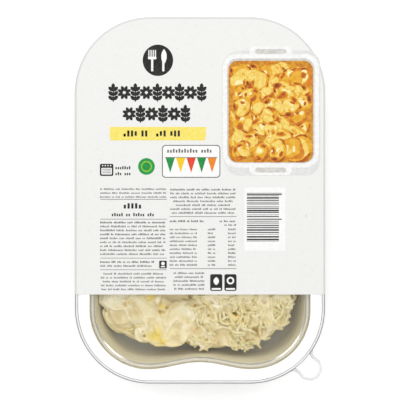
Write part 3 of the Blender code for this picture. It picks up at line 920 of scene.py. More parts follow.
def print_columns(inks, rng):
    """The lower half: two columns of small print between thin rules, dark boxes and a striped code."""
    black, white, grey = inks["black"], inks["white"], inks["grey"]
    left, right = -60.9, -20.3
    for y in (7.0, 4.6, 2.2):
        small_print(grey, rng, left, right, y, 1.0)
    for y in (0.7, -11.4, -35.2, -42.3):
        grey.bar((left + right) / 2, y, right - left, 0.28)
    small_print(black, rng, -47.6, -34.0, -3.3, 3.2, centred=True)
    small_print(black, rng, -54.5, -27.0, -8.6, 2.0, centred=True)
    for i in range(9):
        small_print(black if i in (0, 3) else grey, rng, left, right, -13.4 - 2.41 * i, 1.15)
    small_print(black, rng, left, -27.0, -37.5, 1.2)
    small_print(grey, rng, left, -27.0, -39.9, 1.15)
    black.plate(-22.6, -39.1, 4.6, 4.7, 0.5)
    white.disc(-22.6, -38.5, 1.1, sides=14)
    white.bar(-22.6, -40.4, 2.6, 0.7)
    for i in range(5):
        small_print(grey, rng, left, right, -44.7 - 2.38 * i, 1.1, centred=True)

    left, right = -18.4, 22.2
    for i in range(7):
        small_print(grey if i else black, rng, left, right, 6.7 - 2.37 * i, 1.15, centred=True)
    for y in (-9.8, -41.6):
        grey.bar((left + right) / 2, y, right - left, 0.28)
    small_print(black, rng, left, 3.0, -12.6, 1.2)
    small_print(black, rng, 12.0, right, -12.6, 1.2)
    small_print(black, rng, 15.0, right, -14.9, 1.1)
    for i in range(10):
        y = -17.6 - 2.41 * i
        small_print(grey, rng, left, -1.5, y, 1.1)
        for edge in (9.8, right):
            small_print(grey, rng, edge - 5.0, edge, y, 1.1)
    for i in range(5):
        small_print(grey, rng, -16.2, 3.0, -44.3 - 2.4 * i, 1.15, centred=True)
    for x in (9.9, 18.6):
        black.plate(x, -50.1, 7.4, 10.2, 1.1)
        white.plate(x, -54.0, 5.6, 1.1, 0.3)
    white.leaf(9.9, -51.6, 4.8, 3.4, QUARTER)
    white.disc(18.6, -48.9, 2.3, sides=20)
    inks["black_top"].disc(18.6, -48.9, 1.3, sides=16)

    white.plate(39.6, -11.4, 25.0, 38.6, 0.8)
    module = CODE_LENGTH / CODE_MODULES
    y = CODE_TOP
    dark = True
    stripe = 0
    while y > CODE_BOTTOM + module:
        modules = rng.choice((1, 1, 2, 2, 3))
        guard = stripe < 3 or 47 < stripe < 53 or y < CODE_LAST_GUARD
        if dark:
            inks["black_top"].span(28.6, y - modules * module * 0.96, 49.9 if guard else 48.2, y)
        y -= modules * module
        stripe += modules
        dark = not dark


def slice_layers(rng, radius):
    """One slice's flat tones in the picture: ink, place, share of the radius, stretch and turn of each."""
    turn, narrow = rng.uniform(-1.5, 1.5), rng.choice((0.5, 0.66, 0.8, 0.92))
    rim, face = rng.choice((("golden", "creamy"), ("golden", "creamy"), ("amber", "golden")))
    shade = rng.choice(("amber", "browned", "browned"))
    layers = [(shade, 0.2, -0.5, 1.0, narrow, turn), (rim, 0, 0, 0.98, narrow, turn)]
    east, north = rng.uniform(-0.6, 0.1), rng.uniform(0.1, 0.7)
    layers.append((face, east, north, rng.uniform(0.76, 0.9), narrow, turn))
    for tones, near, far, low, high in SLICE_SPOTS:
        angle, away = rng.uniform(0, TURN), rng.uniform(near, far) * radius
        place = turned(0, 0, away * math.cos(angle), away * narrow * math.sin(angle), turn)
        tilt = turn + angle + QUARTER + rng.uniform(-0.4, 0.4)
        size, stretch = rng.uniform(low, high), rng.uniform(0.35, 0.75)
        layers += [(name, *place, size * 0.7**i, stretch, tilt) for i, name in enumerate(tones)]
    return layers


def print_dish(inks, rng):
    """The picture at the upper right: a straight white dish from above, full of golden slices."""
    middle_x, middle_y = DISH_MIDDLE
    reach_x, reach_y = SLICE_REACH
    dish_y = 54.8
    inks["shade"].plate(44.2, 53.4, 58.6, 76.4, 9.0, 8)
    inks["shade"].plate(middle_x, dish_y, 59.6, 70.2, 8.9, 8)
    inks["dish"].plate(middle_x, dish_y, 58.8, 69.4, 8.5, 8)
    for side in (-1, 1):
        inks["dish"].plate(middle_x, dish_y + side * 35.6, 26.0, 7.4, 3.4, 8)
        inks["shade_top"].plate(middle_x, dish_y + side * 36.2, 19.0, 3.0, 1.4, 6)
    inks["shade_top"].plate(middle_x, dish_y, 53.4, 64.0, 6.4, 8)
    inks["sauce"].plate(middle_x, middle_y, 51.6, 62.0, 5.6, 8)

    columns, rows = 5, 8
    for row in range(rows):
        row_y = ((rows - 1) / 2 - row) * 7.6
        if row % (rows // 2) == 0:
            sheets = 0
        for column in rng.sample(range(columns), columns):
            radius = rng.uniform(5.6, 8.4)
            x = (column - (columns - 1) / 2) * 10.4 + (2.4 if row % 2 else -2.4) + rng.uniform(-1.8, 1.8)
            y = row_y + rng.uniform(-1.8, 1.8)
            room_x, room_y = reach_x - 0.98 * radius, reach_y - 0.98 * radius
            x = middle_x + max(-room_x, min(room_x, x))
            y = middle_y + max(-room_y, min(room_y, y))
            for name, east, north, size, stretch, tilt in slice_layers(rng, radius):
                sheets += 1
                inks[name].blob(x + east, y + north, size * radius, rng, sheets * DISH_LIFT, stretch, tilt)
        for _ in range(3):
            x = middle_x + rng.uniform(-1, 1) * (reach_x - 5)
            y = row_y + rng.uniform(-4, 4)
            y = middle_y + max(5 - reach_y, min(reach_y - 5, y))
            radius, stretch, turn = rng.uniform(2.6, 4.8), rng.uniform(0.45, 0.8), rng.uniform(0, TURN)
            for name, size in (("golden", 1), ("creamy", 0.84)):
                sheets += 1
                inks[name].blob(x, y, radius * size, rng, sheets * DISH_LIFT, stretch, turn)


def make_print():
    """All of the print, one piece for each ink."""
    inks = {
        name: Ink(f"print_{name}", ink_finish(f"{name} ink", low, high), layer)
        for name, (low, high, layer) in INKS.items()
    }
    rng = random.Random(7)
    for draw in (print_front, print_columns, print_dish):
        draw(inks, rng)
    for ink in inks.values():
        ink.finish_print()


def wall_inset(z):
    """How far the cavity wall stands in from the cavity's edge at height z."""
    depth = RIM_HEIGHT - z
    straight = WALL_TOP[0] + max(depth - WALL_TOP[1], 0) * math.tan(WALL_DRAFT)
    into_radius = max(SHEET + FLOOR_ROUNDING - z, 0) / FLOOR_ROUNDING
    return straight + 0.5 * FLOOR_ROUNDING * into_radius**2


def keep_inside(point):
    """Moves a point of the food in until it is clear of the cavity wall and the floor."""
    z = max(point.z, FILLING_BASE)
    inset = wall_inset(z) + FILLING_CLEARANCE
    reach = (CAVITY_HALF_WIDTH - inset, CAVITY_HALF_LENGTH - END_DENT - inset)
    return Vector((*into_rounded_box(point.x, point.y, *reach, CAVITY_CORNER - inset), z))


def filling_edge(angle):
    """The filling's outline in this direction from its centre."""
    across = abs(math.cos(angle)) / FILLING_HALF_WIDTH
    along = abs(math.sin(angle)) / FILLING_HALF_LENGTH
    reach = (across**FILLING_POWER + along**FILLING_POWER) ** (-1 / FILLING_POWER)
    return Vector((reach * math.cos(angle), reach * math.sin(angle)))


def add_mound(bm):
    """The bulk of the gratin: rounded sides and a level top."""
    rings = []
    for share, height in FILLING_PROFILE:
        edge = [filling_edge(TURN * i / FILLING_STEPS) * share for i in range(FILLING_STEPS)]
        rings.append([Vector((p.x + FILLING_SHIFT_X, p.y, height * MM)) for p in edge])
    bmesh.ops.contextual_create(bm, geom=loft(bm, rings))
    bmesh.ops.contextual_create(bm, geom=[edge for edge in bm.edges if edge.is_boundary])


def add_slice(bm, centre, radii, lean, turn, thickness=3.4 * MM, bend=1.0 * MM, cup=0.0, folds=0.0):
    """A potato slice: a dented disc with a rounded, uneven edge, whose top leans this way.

    It is bent like a saddle, cupped towards its edge and wrinkled by folds that run outwards.
    """
    made = bmesh.ops.create_uvsphere(bm, u_segments=56, v_segments=14, radius=1)["verts"]
    stand = UP.rotation_difference(Vector(lean).normalized())
    spin = Matrix.Rotation(turn, 3, "Z")
    phase = centre[0] / MM
    for vert in made:
        flat = Vector((vert.co.x, vert.co.y))
        angle = math.atan2(flat.y, flat.x)
        reach = flat.length**0.5
        outwards = reach * (1 + 0.16 * noise.noise(Vector((math.cos(angle), math.sin(angle), phase))))
        level = math.copysign(abs(vert.co.z) ** 0.5, vert.co.z) * thickness / 2
        wrinkle = folds * math.sin(7 * angle + 3 * reach + phase)
        level += reach**2 * (bend * math.cos(2 * angle) + cup + wrinkle)
        place = Vector((outwards * radii[0] * math.cos(angle), outwards * radii[1] * math.sin(angle), level))
        place.z += SLICE_DENTS * noise.noise(Vector((place.x, place.y, phase * MM)) / (6 * MM))
        vert.co = stand @ (spin @ place) + Vector(centre)


def add_lump(bm, centre, radii):
    """A rounded lump of potato and cream."""
    made = bmesh.ops.create_icosphere(bm, subdivisions=4, radius=1)["verts"]
    for vert in made:
        uneven = 1 + 0.12 * noise.noise(vert.co * 1.4 + Vector(centre) * 300)
        vert.co = Vector([c * r * uneven for c, r in zip(vert.co, radii)]) + Vector(centre)


# What shows in the window, in millimetres.
# Slices: their middle, two radii, the way that the top leans, turn in degrees, and up to four sizes:
# thickness, bend, cup and folds
WINDOW_SLICES = (
    ((-48.5, -72.8, 17.6), (12.8, 12), (-0.3, -0.5, 1), 0, (2.6,)),
    ((-49.2, -71, 20.4), (11.6, 11), (-0.3, -0.38, 1), 20, (2.2,)),
    ((-48.8, -69.6, 22.8), (9.8, 9.2), (-0.25, -0.32, 1), 40, (2, 0.6)),
    ((-48, -68.3, 25.2), (7.8, 7.4), (-0.22, -0.25, 1), 60, (1.8, 0.4, 1.2)),
    ((-37, -77.5, 19.4), (14.5, 9.6), (-0.14, -0.42, 1), -14, (3,)),
    ((-29.5, -80, 22), (11.5, 9.4), (0.05, -0.3, 1), 0, (3,)),
    ((-38.8, -70.5, 23.8), (11, 6), (-0.4, -0.12, 1), -64, (2.6,)),
    ((-32, -68.2, 25.2), (11, 9.2), (0.16, -0.12, 1), 0, (3.4, 1, 0, 0.25)),
    ((-33, -59.5, 26.2), (8.5, 6), (-0.1, 0.05, 1), 15, (3, 1, 0, 0.3)),
    ((-16.4, -59.5, 25), (9, 7), (0.1, 0.04, 1), 0, (3, 0.3)),
    ((-24.6, -59.6, 25.6), (5, 7.4), (0.98, -0.22, 0.15), 90, (3.2, 0.2)),
    ((-15.6, -80.6, 24.2), (9, 9.6), (-0.14, 0.1, 1), 0, (3, 1, 0.9, 0.5)),
    ((-13, -69, 24.9), (10.5, 9), (0.12, -0.16, 1), 30, (3.2, 1, 0, 0.6)),
    ((10.4, -64.8, 25.4), (7, 6), (0.05, -0.06, 1), 0, (2.8, 0.4)),
    ((26.9, -64, 25.8), (8.4, 5.6), (0.05, -0.08, 1), -12, (2.8, 0.4)),
    ((45, -66, 22.6), (11, 11.5), (0.25, -0.08, 1), 0, ()),
    ((36, -77, 22), (11.5, 9.5), (0.22, -0.3, 1), 0, ()),
    ((20, -79, 22.4), (11, 9), (0, -0.25, 1), 0, ()),
)
# Lumps: their middle and three radii
WINDOW_LUMPS = (
    ((-55, -60.2, 23), (7.2, 7, 5.2)),
    ((-42, -59, 23.6), (6, 6, 4.6)),
    ((-48.5, -57.5, 24.4), (8, 6.5, 5)),
    ((18.3, -63, 24), (5, 4.6, 4.4)),
    ((-5.4, -68.2, 23.6), (6.8, 8, 5.4)),
    ((4.6, -73, 23.4), (6, 5.6, 4.6)),
    ((-3.4, -81, 22), (8.6, 8.2, 5.4)),
    ((-25.5, -85, 19.6), (6.4, 4.8, 4.2)),
    ((-24, -76, 22.4), (5.6, 7.4, 4.4)),
    ((10.4, -85.4, 18.6), (9.4, 5.6, 5.6)),
    ((26, -86.5, 17.6), (8, 5.4, 5)),
    ((3.5, -56.5, 24.6), (9, 8, 4.6)),
    ((-22, -53, 23.6), (9, 6, 4.4)),
    ((19, -55, 24.4), (10, 7, 4.8)),
    ((35, -56, 24.4), (10, 8, 4.8)),
    ((50, -58, 23.4), (7.6, 12, 5.8)),
    ((46, -72, 21.8), (9.2, 7.6, 5.4)),
)
# Long shreds and bands that stand out: the places that they run through, and their width
BANDS = (
    (((-6, -55), (-2.6, -60), (1.6, -64.4), (6.3, -69.6)), 2.4),
    (((-1.5, -55), (3.5, -60.4), (7.6, -66.4), (9.6, -71.4)), 2),
    (((23, -62.6), (26.3, -66.6), (30.2, -70), (33.4, -71.6), (33, -74), (30, -74)), 1.6),
    (((31.5, -55), (35.6, -62.4), (37.9, -69.6), (40.6, -74.4), (43.2, -77.4)), 1.8),
    (((34.6, -55), (38.2, -63.6), (39.8, -68.8), (43.6, -72.8)), 1.6),
    (((56.6, -52), (57, -60), (56, -68), (54.2, -74.6)), 1.6),
    (((54.4, -52), (55, -61), (54, -69.6), (52.4, -76)), 1.5),
    (((51.8, -54), (52.8, -62), (51.6, -71.4)), 1.4),
    (((12, -78.6), (16, -75.6), (19.4, -72.8)), 1.8),
    (((8.4, -80), (13, -77.6), (18.6, -78.4)), 1.6),
    (((-3, -84.5), (-1.8, -88), (-3.6, -90.6)), 2.2),
    (((14, -89), (16.6, -90.8), (19.6, -89.8)), 1.5),
    (((43, -74.5), (47, -79.6)), 1.5),
    (((45.6, -73.6), (49.4, -77.6)), 1.4),
    (((50.8, -72), (51.8, -77.6)), 1.5),
    (((37.8, -83), (41, -85.6)), 1.5),
    (((31.6, -86.4), (34.8, -88.4)), 1.5),
)
# Folds of cream and the rims of slices under it: the places that they run through, and their width
CREAM_FOLDS = (
    (((-60.2, -61), (-56, -65.2), (-50.6, -66.8), (-46, -65.6)), 2.2),
    (((-58.1, -68.7), (-56.8, -74.5), (-51.4, -79), (-43.4, -82.1), (-36.2, -87)), 1.9),
    (((-55, -67.8), (-54.5, -72.7), (-49.6, -76.3), (-42.5, -78.1)), 1.6),
    (((-36.2, -87), (-28.2, -89), (-20.1, -89), (-11.1, -88.6)), 2),
    (((-46.5, -66.4), (-43.4, -71.8), (-38, -78.1), (-34.4, -84.4), (-30.8, -87.4)), 2.4),
    (((-40.7, -64.7), (-36.2, -71), (-32.6, -78.1)), 2.2),
    (((-7.5, -66.4), (-6.2, -75.4), (-7.5, -82.6), (-11.1, -88.4)), 2),
    (((-13.7, -61.7), (-19, -66.2), (-21.7, -74.3), (-20, -79.2), (-22.5, -83.7)), 2.6),
    (((0, -66.9), (-2.5, -71.5), (-6, -76.4), (-8.1, -79.9)), 2.2),
    (((-13, -62.7), (-7.8, -66.2), (-0.7, -65.9)), 2.4),
    (((-21.7, -86.2), (-15.8, -82.7), (-10.9, -80.6)), 1.8),
    (((-37, -58), (-31.6, -62.4), (-27.4, -60)), 2.4),
    (((-54, -56), (-50, -60.6), (-44, -61), (-41, -57)), 2.6),
    (((-29, -54), (-26.6, -58.6), (-24.4, -63), (-21.6, -66.4)), 3.2),
)
# Rings of rolled shreds: their middle, first and last radius, turns, start in degrees, and width
RINGS = (
    ((-2.1, -78.8), 1.7, 6, 1.7, 200, 1.7),
    ((26.2, -76.2), 4.4, 4.9, 1.1, 80, 1.5),
    ((34.2, -80.2), 3.6, 4.3, 1.2, 20, 1.7),
)
# Places without cheese: x, y and radius
BARE_PATCHES = (
    (10.4, -64.6, 4.2),
    (27, -63.6, 4.6),
    (10.5, -85, 6.5),
    (-2.1, -78.8, 6),
    (34.2, -80.2, 3),
    (5.3, -70.6, 3.4),
    (20.8, -68.6, 3.4),
)
# Pits: x, y, radius and depth
PITS = (
    (5.3, -70.6, 1.3, 1.6),
    (20.8, -68.6, 1.5, 1.8),
    (-45.9, -63.6, 2.4, 1.2),
    (-58.6, -67.3, 1.8, 1.2),
    (34.2, -80.2, 2.4, 1.2),
    (23.2, -74.6, 1.5, 1.2),
    (-1.9, -78.6, 0.9, 1.2),
    (-3, -64.4, 1.5, 1.8),
    (-24.4, -68.4, 1.8, 2),
    (32.4, -61.4, 1.2, 1.6),
    (-9.4, -60.8, 2, 1),
    (-34.4, -83.4, 1.3, 2.6),
    (-35.4, -80.6, 1.2, 1.2),
    (-31.6, -88, 1.8, 1.2),
    (4.2, -85.6, 1.3, 1.8),
    (53.4, -63.4, 1, 1.4),
    (52.4, -70.4, 1, 1.4),
    (51, -75, 1, 1.6),
    (18.6, -87.6, 1.5, 1.4),
    (22.8, -87.6, 1.4, 1.4),
    (21.4, -82.8, 1, 1),
    (-7.6, -88.2, 2.2, 2.6),
    (-20.2, -65.6, 1.5, 1.6),
    (-22.4, -68.4, 1.4, 1.2),
)
# Patches of butter, of bare potato and of whiter cream: x, y and radius
BUTTER_PATCHES = (
    (-27, -83.2, 4.4),
    (-23.4, -87, 2.6),
    (-30.4, -59.4, 2.3),
    (34.2, -80.2, 2.4),
    (21.8, -69.6, 2.2),
    (24, -74.6, 2.6),
    (-23.6, -65, 1.8),
)
POTATO_PATCHES = (
    (-50.6, -71, 4),
    (-17.6, -60.6, 6),
    (-40.6, -68, 3.4),
    (-26, -66, 3),
    (-13.6, -77, 2.4),
    (-2, -79.6, 3.6),
    (-5.6, -61.4, 3.4),
    (-14.4, -84.6, 3),
    (10, -86.2, 4),
)
CREAM_PATCHES = (
    (-57, -62, 6.5),
    (-50.6, -60.6, 4),
    (-8.4, -66.8, 4.6),
    (-37, -79, 4),
    (12, -64, 4),
)
WINDOW_SHREDS = 400
LEFT_SHREDS = 14
LOOSE_SHREDS = 130
COVERED_SHREDS = 520
LOOSE_COVERED_SHREDS = 160


def covered_slices(rng):
    """Middles, radii, leans and turns of the slices under the label, in rows."""
    slices = []
    for row in range(6):
        for column in range(5):
            x = (column - 2 + 0.25 * (-1) ** row) * 24.5 + rng.uniform(-4, 4)
            y = -40 + row * 24.5 + rng.uniform(-4, 4)
            radius = rng.uniform(12.5, 16.5)
            lean = (rng.uniform(-0.22, 0.22), rng.uniform(-0.22, 0.22), 1)
            edge = filling_edge(math.atan2(y, x)).length / MM
            pull = min(1, (edge - 0.8 * radius) / max(math.hypot(x, y), 1))
            centre = Vector((x * pull, y * pull, rng.uniform(22.4, 24.4))) * MM
            centre.x += FILLING_SHIFT_X
            radii = (radius * MM, radius * rng.uniform(0.8, 1) * MM)
            slices.append((centre, radii, lean, rng.uniform(0, TURN)))
    return slices


def cut_flat(bm, place, normal):
    """Cuts away what lies behind this plane, and closes the cut."""
    cut_away(bm, place, normal)
    bmesh.ops.holes_fill(bm, edges=[edge for edge in bm.edges if edge.is_boundary])
    bmesh.ops.recalc_face_normals(bm, faces=bm.faces)


def add_parts(bm, covered, in_window):
    """All parts of the gratin, or only those that reach the window."""
    margin = WINDOW_SEAM_Y + 5 * MM
    add_mound(bm)
    if in_window:
        cut_flat(bm, (0, margin, 0), (0, -1, 0))
    for centre, radii, lean, turn, sizes in WINDOW_SLICES:
        sizes = [size * MM for size in sizes]
        add_slice(bm, Vector(centre) * MM, Vector(radii) * MM, lean, math.radians(turn), *sizes)
    for centre, radii in WINDOW_LUMPS:
        add_lump(bm, Vector(centre) * MM, Vector(radii) * MM)
    for centre, radii, lean, turn in covered:
        if not in_window or centre.y - max(radii) < margin:
            add_slice(bm, centre, radii, lean, turn)


def fused(bm, voxel, keep):
    """The parts and sunken shreds as one closed skin with fine relief, on the side of the seam to keep."""
    joined = evaluated(
        mesh_from(bm, "draft"),
        ("REMESH", {"mode": "VOXEL", "voxel_size": voxel}),
        ("SMOOTH", {"factor": 0.5, "iterations": 2}),
    )
    bm = bmesh.new()
    bm.from_mesh(joined)
    bpy.data.meshes.remove(joined)
    cut_flat(bm, (0, 0, 2 * FILLING_BASE), (0, 0, 1))
    cut_flat(bm, (0, WINDOW_SEAM_Y, 0), (0, keep, 0))
    bm.normal_update()
    for vert in bm.verts:
        swell = 0.9 * noise.noise(vert.co / (19 * MM))
        coarse = 0.2 * noise.noise(vert.co / (3.0 * MM))
        fine = 0.07 * noise.noise(vert.co / (1.2 * MM))
        crease = 0.4 * (1 - 3 * abs(noise.noise(vert.co / (8 * MM))))
        swell += RISE * math.exp(-(((vert.co.y - LABEL_EDGE_Y) / RISE_REACH) ** 2)) / MM
        if vert.co.z > ROUGH_ABOVE:
            vert.co += (vert.normal * (coarse + fine) + UP * (swell + crease)) * MM
        above, room = vert.co.z - FILLING_KNEE, FILLING_CEILING - FILLING_KNEE
        if above > 0:
            vert.co.z = FILLING_KNEE + room * (1 - math.exp(-above / room))
    return bm


def sink_pits(bm):
    pits = [(Vector((x, y)) * MM, radius * MM, depth * MM) for x, y, radius, depth in PITS]
    for vert in bm.verts:
        for place, radius, depth in pits:
            away = (vert.co.xy - place).length / radius
            if away < 1:
                vert.co.z = max(vert.co.z - depth * (1 - away**2) ** 2, ROUGH_ABOVE)


def fill_hollows(bm):
    """Lets cream fill the hollows: what lies deep under the average top around it is raised."""
    relief = Relief(bm)
    places = np.array([vert.co for vert in bm.verts])
    extra = relief.depths(places, 5) - FILL_BELOW
    for vert, depth in zip(bm.verts, extra):
        if depth > 0 and vert.co.z > FILL_ABOVE:
            vert.co.z += depth * FILL_SHARE


class Relief:
    """Height of the food's top on a fine grid, which each shred that is laid on it raises."""

    STEP = 0.5 * MM

    def __init__(self, bm):
        tree = BVHTree.FromBMesh(bm)
        self.low = Vector((-HALF_WIDTH, -HALF_LENGTH))
        self.shape = (int(2 * HALF_WIDTH / self.STEP), int(2 * HALF_LENGTH / self.STEP))
        self.heights = np.full(self.shape, FILLING_BASE)
        down = Vector((0, 0, -1))
        first = self.cell(min(vert.co.x for vert in bm.verts), min(vert.co.y for vert in bm.verts))
        last = self.cell(max(vert.co.x for vert in bm.verts), max(vert.co.y for vert in bm.verts))
        for i in range(first[0], last[0] + 1):
            for j in range(first[1], last[1] + 1):
                start = Vector((self.low.x + i * self.STEP, self.low.y + j * self.STEP, RIM_HEIGHT))
                hit = tree.ray_cast(start, down)[0]
                if hit:
                    self.heights[i, j] = hit.z

    def cell(self, x, y):
        return round((x - self.low.x) / self.STEP), round((y - self.low.y) / self.STEP)

    def near(self, x, y):
        i, j = self.cell(x, y)
        return self.heights[i - 1 : i + 2, j - 1 : j + 2]

    def depths(self, places, reach):
        """How deep each place lies under the average top around it."""
        top = self.heights
        for axis in (0, 1):
            total = sum(np.roll(top, shift, axis) for shift in range(-reach, reach + 1))
            top = total / (2 * reach + 1)
        i = np.clip(np.rint((places[:, 0] - self.low.x) / self.STEP).astype(int), 0, self.shape[0] - 1)
        j = np.clip(np.rint((places[:, 1] - self.low.y) / self.STEP).astype(int), 0, self.shape[1] - 1)
        return top[i, j] - places[:, 2]


def smooth_route(points, steps):
    """Points along a smooth curve through these ones, this many steps from each to the next."""
    ends = [2 * points[0] - points[1], *points, 2 * points[-1] - points[-2]]
    route = []
    for before, start, end, after in zip(ends, ends[1:], ends[2:], ends[3:]):
        handles = (start + (end - before) / 6, end - (after - start) / 6)
        route += interpolate_bezier(start, *handles, end, steps + 1)[:-1]
    return [*route, points[-1]]


class Shreds:
    """Shreds of cheese, laid one after another on the relief.

    Those that sink rest on the average height below them, and the others on the highest point.
    """

    STEPS = 10
    SIDES = 6
    STEP_LENGTH = 1.1 * MM
    DROOP = 0.5
    BLUNT = 0.8
    WAVE = 0.25
    HEADING = -45
    HEADING_CHANGE = -0.8
    SETTLE_ROUNDS = 24

    def __init__(self, relief, rng, sunk):
        self.relief = relief
        self.rng = rng
        self.sunk = sunk
        self.sag = (0.03 + 0.12 * sunk) * MM
        self.paths = []

    def lay(self, middle, length, curl, width, heading=None):
        """Adds a shred whose middle is near this place, if most of it has food below it."""
        rng = self.rng
        heading = rng.uniform(0, TURN) if heading is None else heading
        phase = rng.uniform(0, TURN)
        step = length / self.STEPS
        points = [Vector((0, 0))]
        for i in range(self.STEPS):
            points.append(points[-1] + Vector((math.cos(heading), math.sin(heading))) * step)
            heading += curl / self.STEPS + self.WAVE * math.sin(TURN * i / self.STEPS + phase)
        mean = sum(points, Vector((0, 0))) / len(points)
        self.settle([p - mean + Vector(middle) for p in points], width, (self.BLUNT, self.BLUNT))

    def scatter(self, x, y, lengths, widths, spread):
        """Lays a shred near this place in millimetres, as the cheese fell, unless the place is bare."""
        rng = self.rng
        heading = math.radians(self.HEADING + self.HEADING_CHANGE * x) + rng.gauss(0, spread)
        length, width, curl = rng.uniform(*lengths), rng.uniform(*widths), rng.gauss(0, 1.0)
        if not any(math.hypot(x - px, y - py) < radius for px, py, radius in BARE_PATCHES):
            self.lay((x * MM, y * MM), length * MM, curl, width * MM, heading)

    def follow(self, points, width):
        """Adds shreds end to end along a smooth curve through these places."""
        route = np.array(smooth_route(points, 12))
        run = np.concatenate(([0], np.cumsum(np.hypot(*np.diff(route, axis=0).T))))
        pieces = math.ceil(run[-1] / (self.STEPS * self.STEP_LENGTH))
        even = np.linspace(0, run[-1], pieces * self.STEPS + 1)
        places = [Vector(p) for p in zip(*(np.interp(even, run, route[:, axis]) for axis in (0, 1)))]
        for k in range(pieces):
            ends = (self.BLUNT if k == 0 else 1, self.BLUNT if k == pieces - 1 else 1)
            self.settle(places[k * self.STEPS : (k + 1) * self.STEPS + 1], width, ends)

    def settle(self, points, width, ends):
        """Drapes a shred over what lies below these places."""
        thickness = width * self.rng.uniform(0.6, 0.8)
        lift = (0.42 - 0.3 * self.sunk) * thickness
        rests = []
        for point in points:
            near = self.relief.near(point.x, point.y)
            rests.append(float(near.max() * (1 - self.sunk) + near.mean() * self.sunk) + lift)
        if sorted(rests)[len(rests) // 3] < LOWEST_REST:
            return
        heights = rests[:]
        fall = self.DROOP * (points[1] - points[0]).length
        for _ in range(self.SETTLE_ROUNDS):
            for i in range(1, self.STEPS):
                heights[i] = max(rests[i], (heights[i - 1] + heights[i + 1]) / 2 - self.sag)
            heights[0] = max(rests[0], heights[1] - fall)
            heights[-1] = max(rests[-1], heights[-2] - fall)
        if max(heights) > FILLING_CEILING:
            return
        path = [keep_inside(Vector((p.x, p.y, z))) for p, z in zip(points, heights)]
        for point in path:
            near = self.relief.near(point.x, point.y)
            np.maximum(near, point.z + 0.5 * thickness - 0.1 * MM, out=near)
        self.paths.append((path, width, thickness, ends, self.rng.uniform(-0.5, 0.5), self.rng.random()))

    def mesh(self, name):
        """One mesh of all the shreds: a straight template, repeated by an array and bent onto the paths."""
        spacing = self.STEPS + 10
        bm = bmesh.new()
        made = bmesh.ops.create_circle(bm, cap_ends=True, segments=self.SIDES, radius=1)["verts"]
        face = made[0].link_faces[0]
        for _ in range(self.STEPS):
            extruded = bmesh.ops.extrude_face_region(bm, geom=[face])["geom"]
            face = of_type(extruded, BMFace)[0]
            bmesh.ops.translate(bm, verts=of_type(extruded, BMVert), vec=(0, 0, 1))
        bmesh.ops.recalc_face_normals(bm, faces=bm.faces)
        row = {
            "count": len(self.paths),
            "use_relative_offset": False,
            "use_constant_offset": True,
            "constant_offset_displace": (0, 0, spacing),
        }
        mesh = evaluated(mesh_from(bm, "draft"), ("ARRAY", row))
        mesh.name = name
        flat = vertex_places(mesh)
        number = np.floor(flat[:, 2] / spacing + 0.01).astype(int)
        ring = np.rint(flat[:, 2] - number * spacing).astype(int)
        shape = (len(self.paths), self.STEPS + 1, 3)
        centres, sides, ups = np.zeros(shape), np.zeros(shape), np.zeros(shape)
        for k, (path, width, thickness, ends, twist, _) in enumerate(self.paths):
            slim = {0: ends[0], 1: (ends[0] + 3) / 4, self.STEPS - 1: (ends[1] + 3) / 4, self.STEPS: ends[1]}
            for i, point in enumerate(path):
                ahead = path[min(i + 1, self.STEPS)] - path[max(i - 1, 0)]
                ahead.normalize()
                side = UP.cross(ahead).normalized()
                up = ahead.cross(side)
                turn = Matrix.Rotation(twist * (1 + 2 * i / self.STEPS), 3, ahead)
                centres[k, i] = point
                sides[k, i] = (turn @ side) * width / 2 * slim.get(i, 1)
                ups[k, i] = (turn @ up) * thickness / 2 * slim.get(i, 1)
        placed = centres[number, ring]
        placed = placed - sides[number, ring] * flat[:, :1] + ups[number, ring] * flat[:, 1:2]
        mesh.vertices.foreach_set("co", placed.ravel())
        store(mesh, "tone", np.array([path[-1] for path in self.paths])[number])
        mesh.shade_smooth()
        return mesh


def lay_window(shreds, rng):
    """Sunken cheese in the window: dense on the right, sparse on the left, then folds, bands and rings."""
    for _ in range(WINDOW_SHREDS):
        shreds.scatter(rng.uniform(-1, 58), rng.uniform(-91, -46), (9, 18), (1.9, 2.6), 0.38)
    for _ in range(LEFT_SHREDS):
        x, y = rng.uniform(-60, -4), rng.uniform(-88, -46)
        shreds.lay((x * MM, y * MM), rng.uniform(7, 12) * MM, rng.gauss(0, 1), rng.uniform(1.5, 1.9) * MM)
    for places, width in CREAM_FOLDS + BANDS:
        shreds.follow([Vector(place) * MM for place in places], width * MM)
    for (x, y), first, last, turns, start, width in RINGS:
        steps = math.ceil(8 * turns)
        places = []
        for i in range(steps + 1):
            share = i / steps
            angle = math.radians(start) + TURN * turns * share
            radius = first + (last - first) * share
            places.append(Vector((x + radius * math.cos(angle), y + radius * math.sin(angle))) * MM)
        shreds.follow(places, width * MM)


def patch_share(places, patches):
    """How much of the patches shows at each place, from 0 to 1, with uneven edges."""
    share = np.zeros(len(places))
    for x, y, radius in patches:
        east, north = places[:, 0] - x * MM, places[:, 1] - y * MM
        angle = np.arctan2(north, east)
        uneven = 1 + 0.22 * np.sin(3 * angle + x) + 0.12 * np.sin(5 * angle)
        away = np.hypot(east, north) / (radius * MM * uneven)
        share = np.maximum(share, np.clip(1.5 - away, 0, 1))
    return share


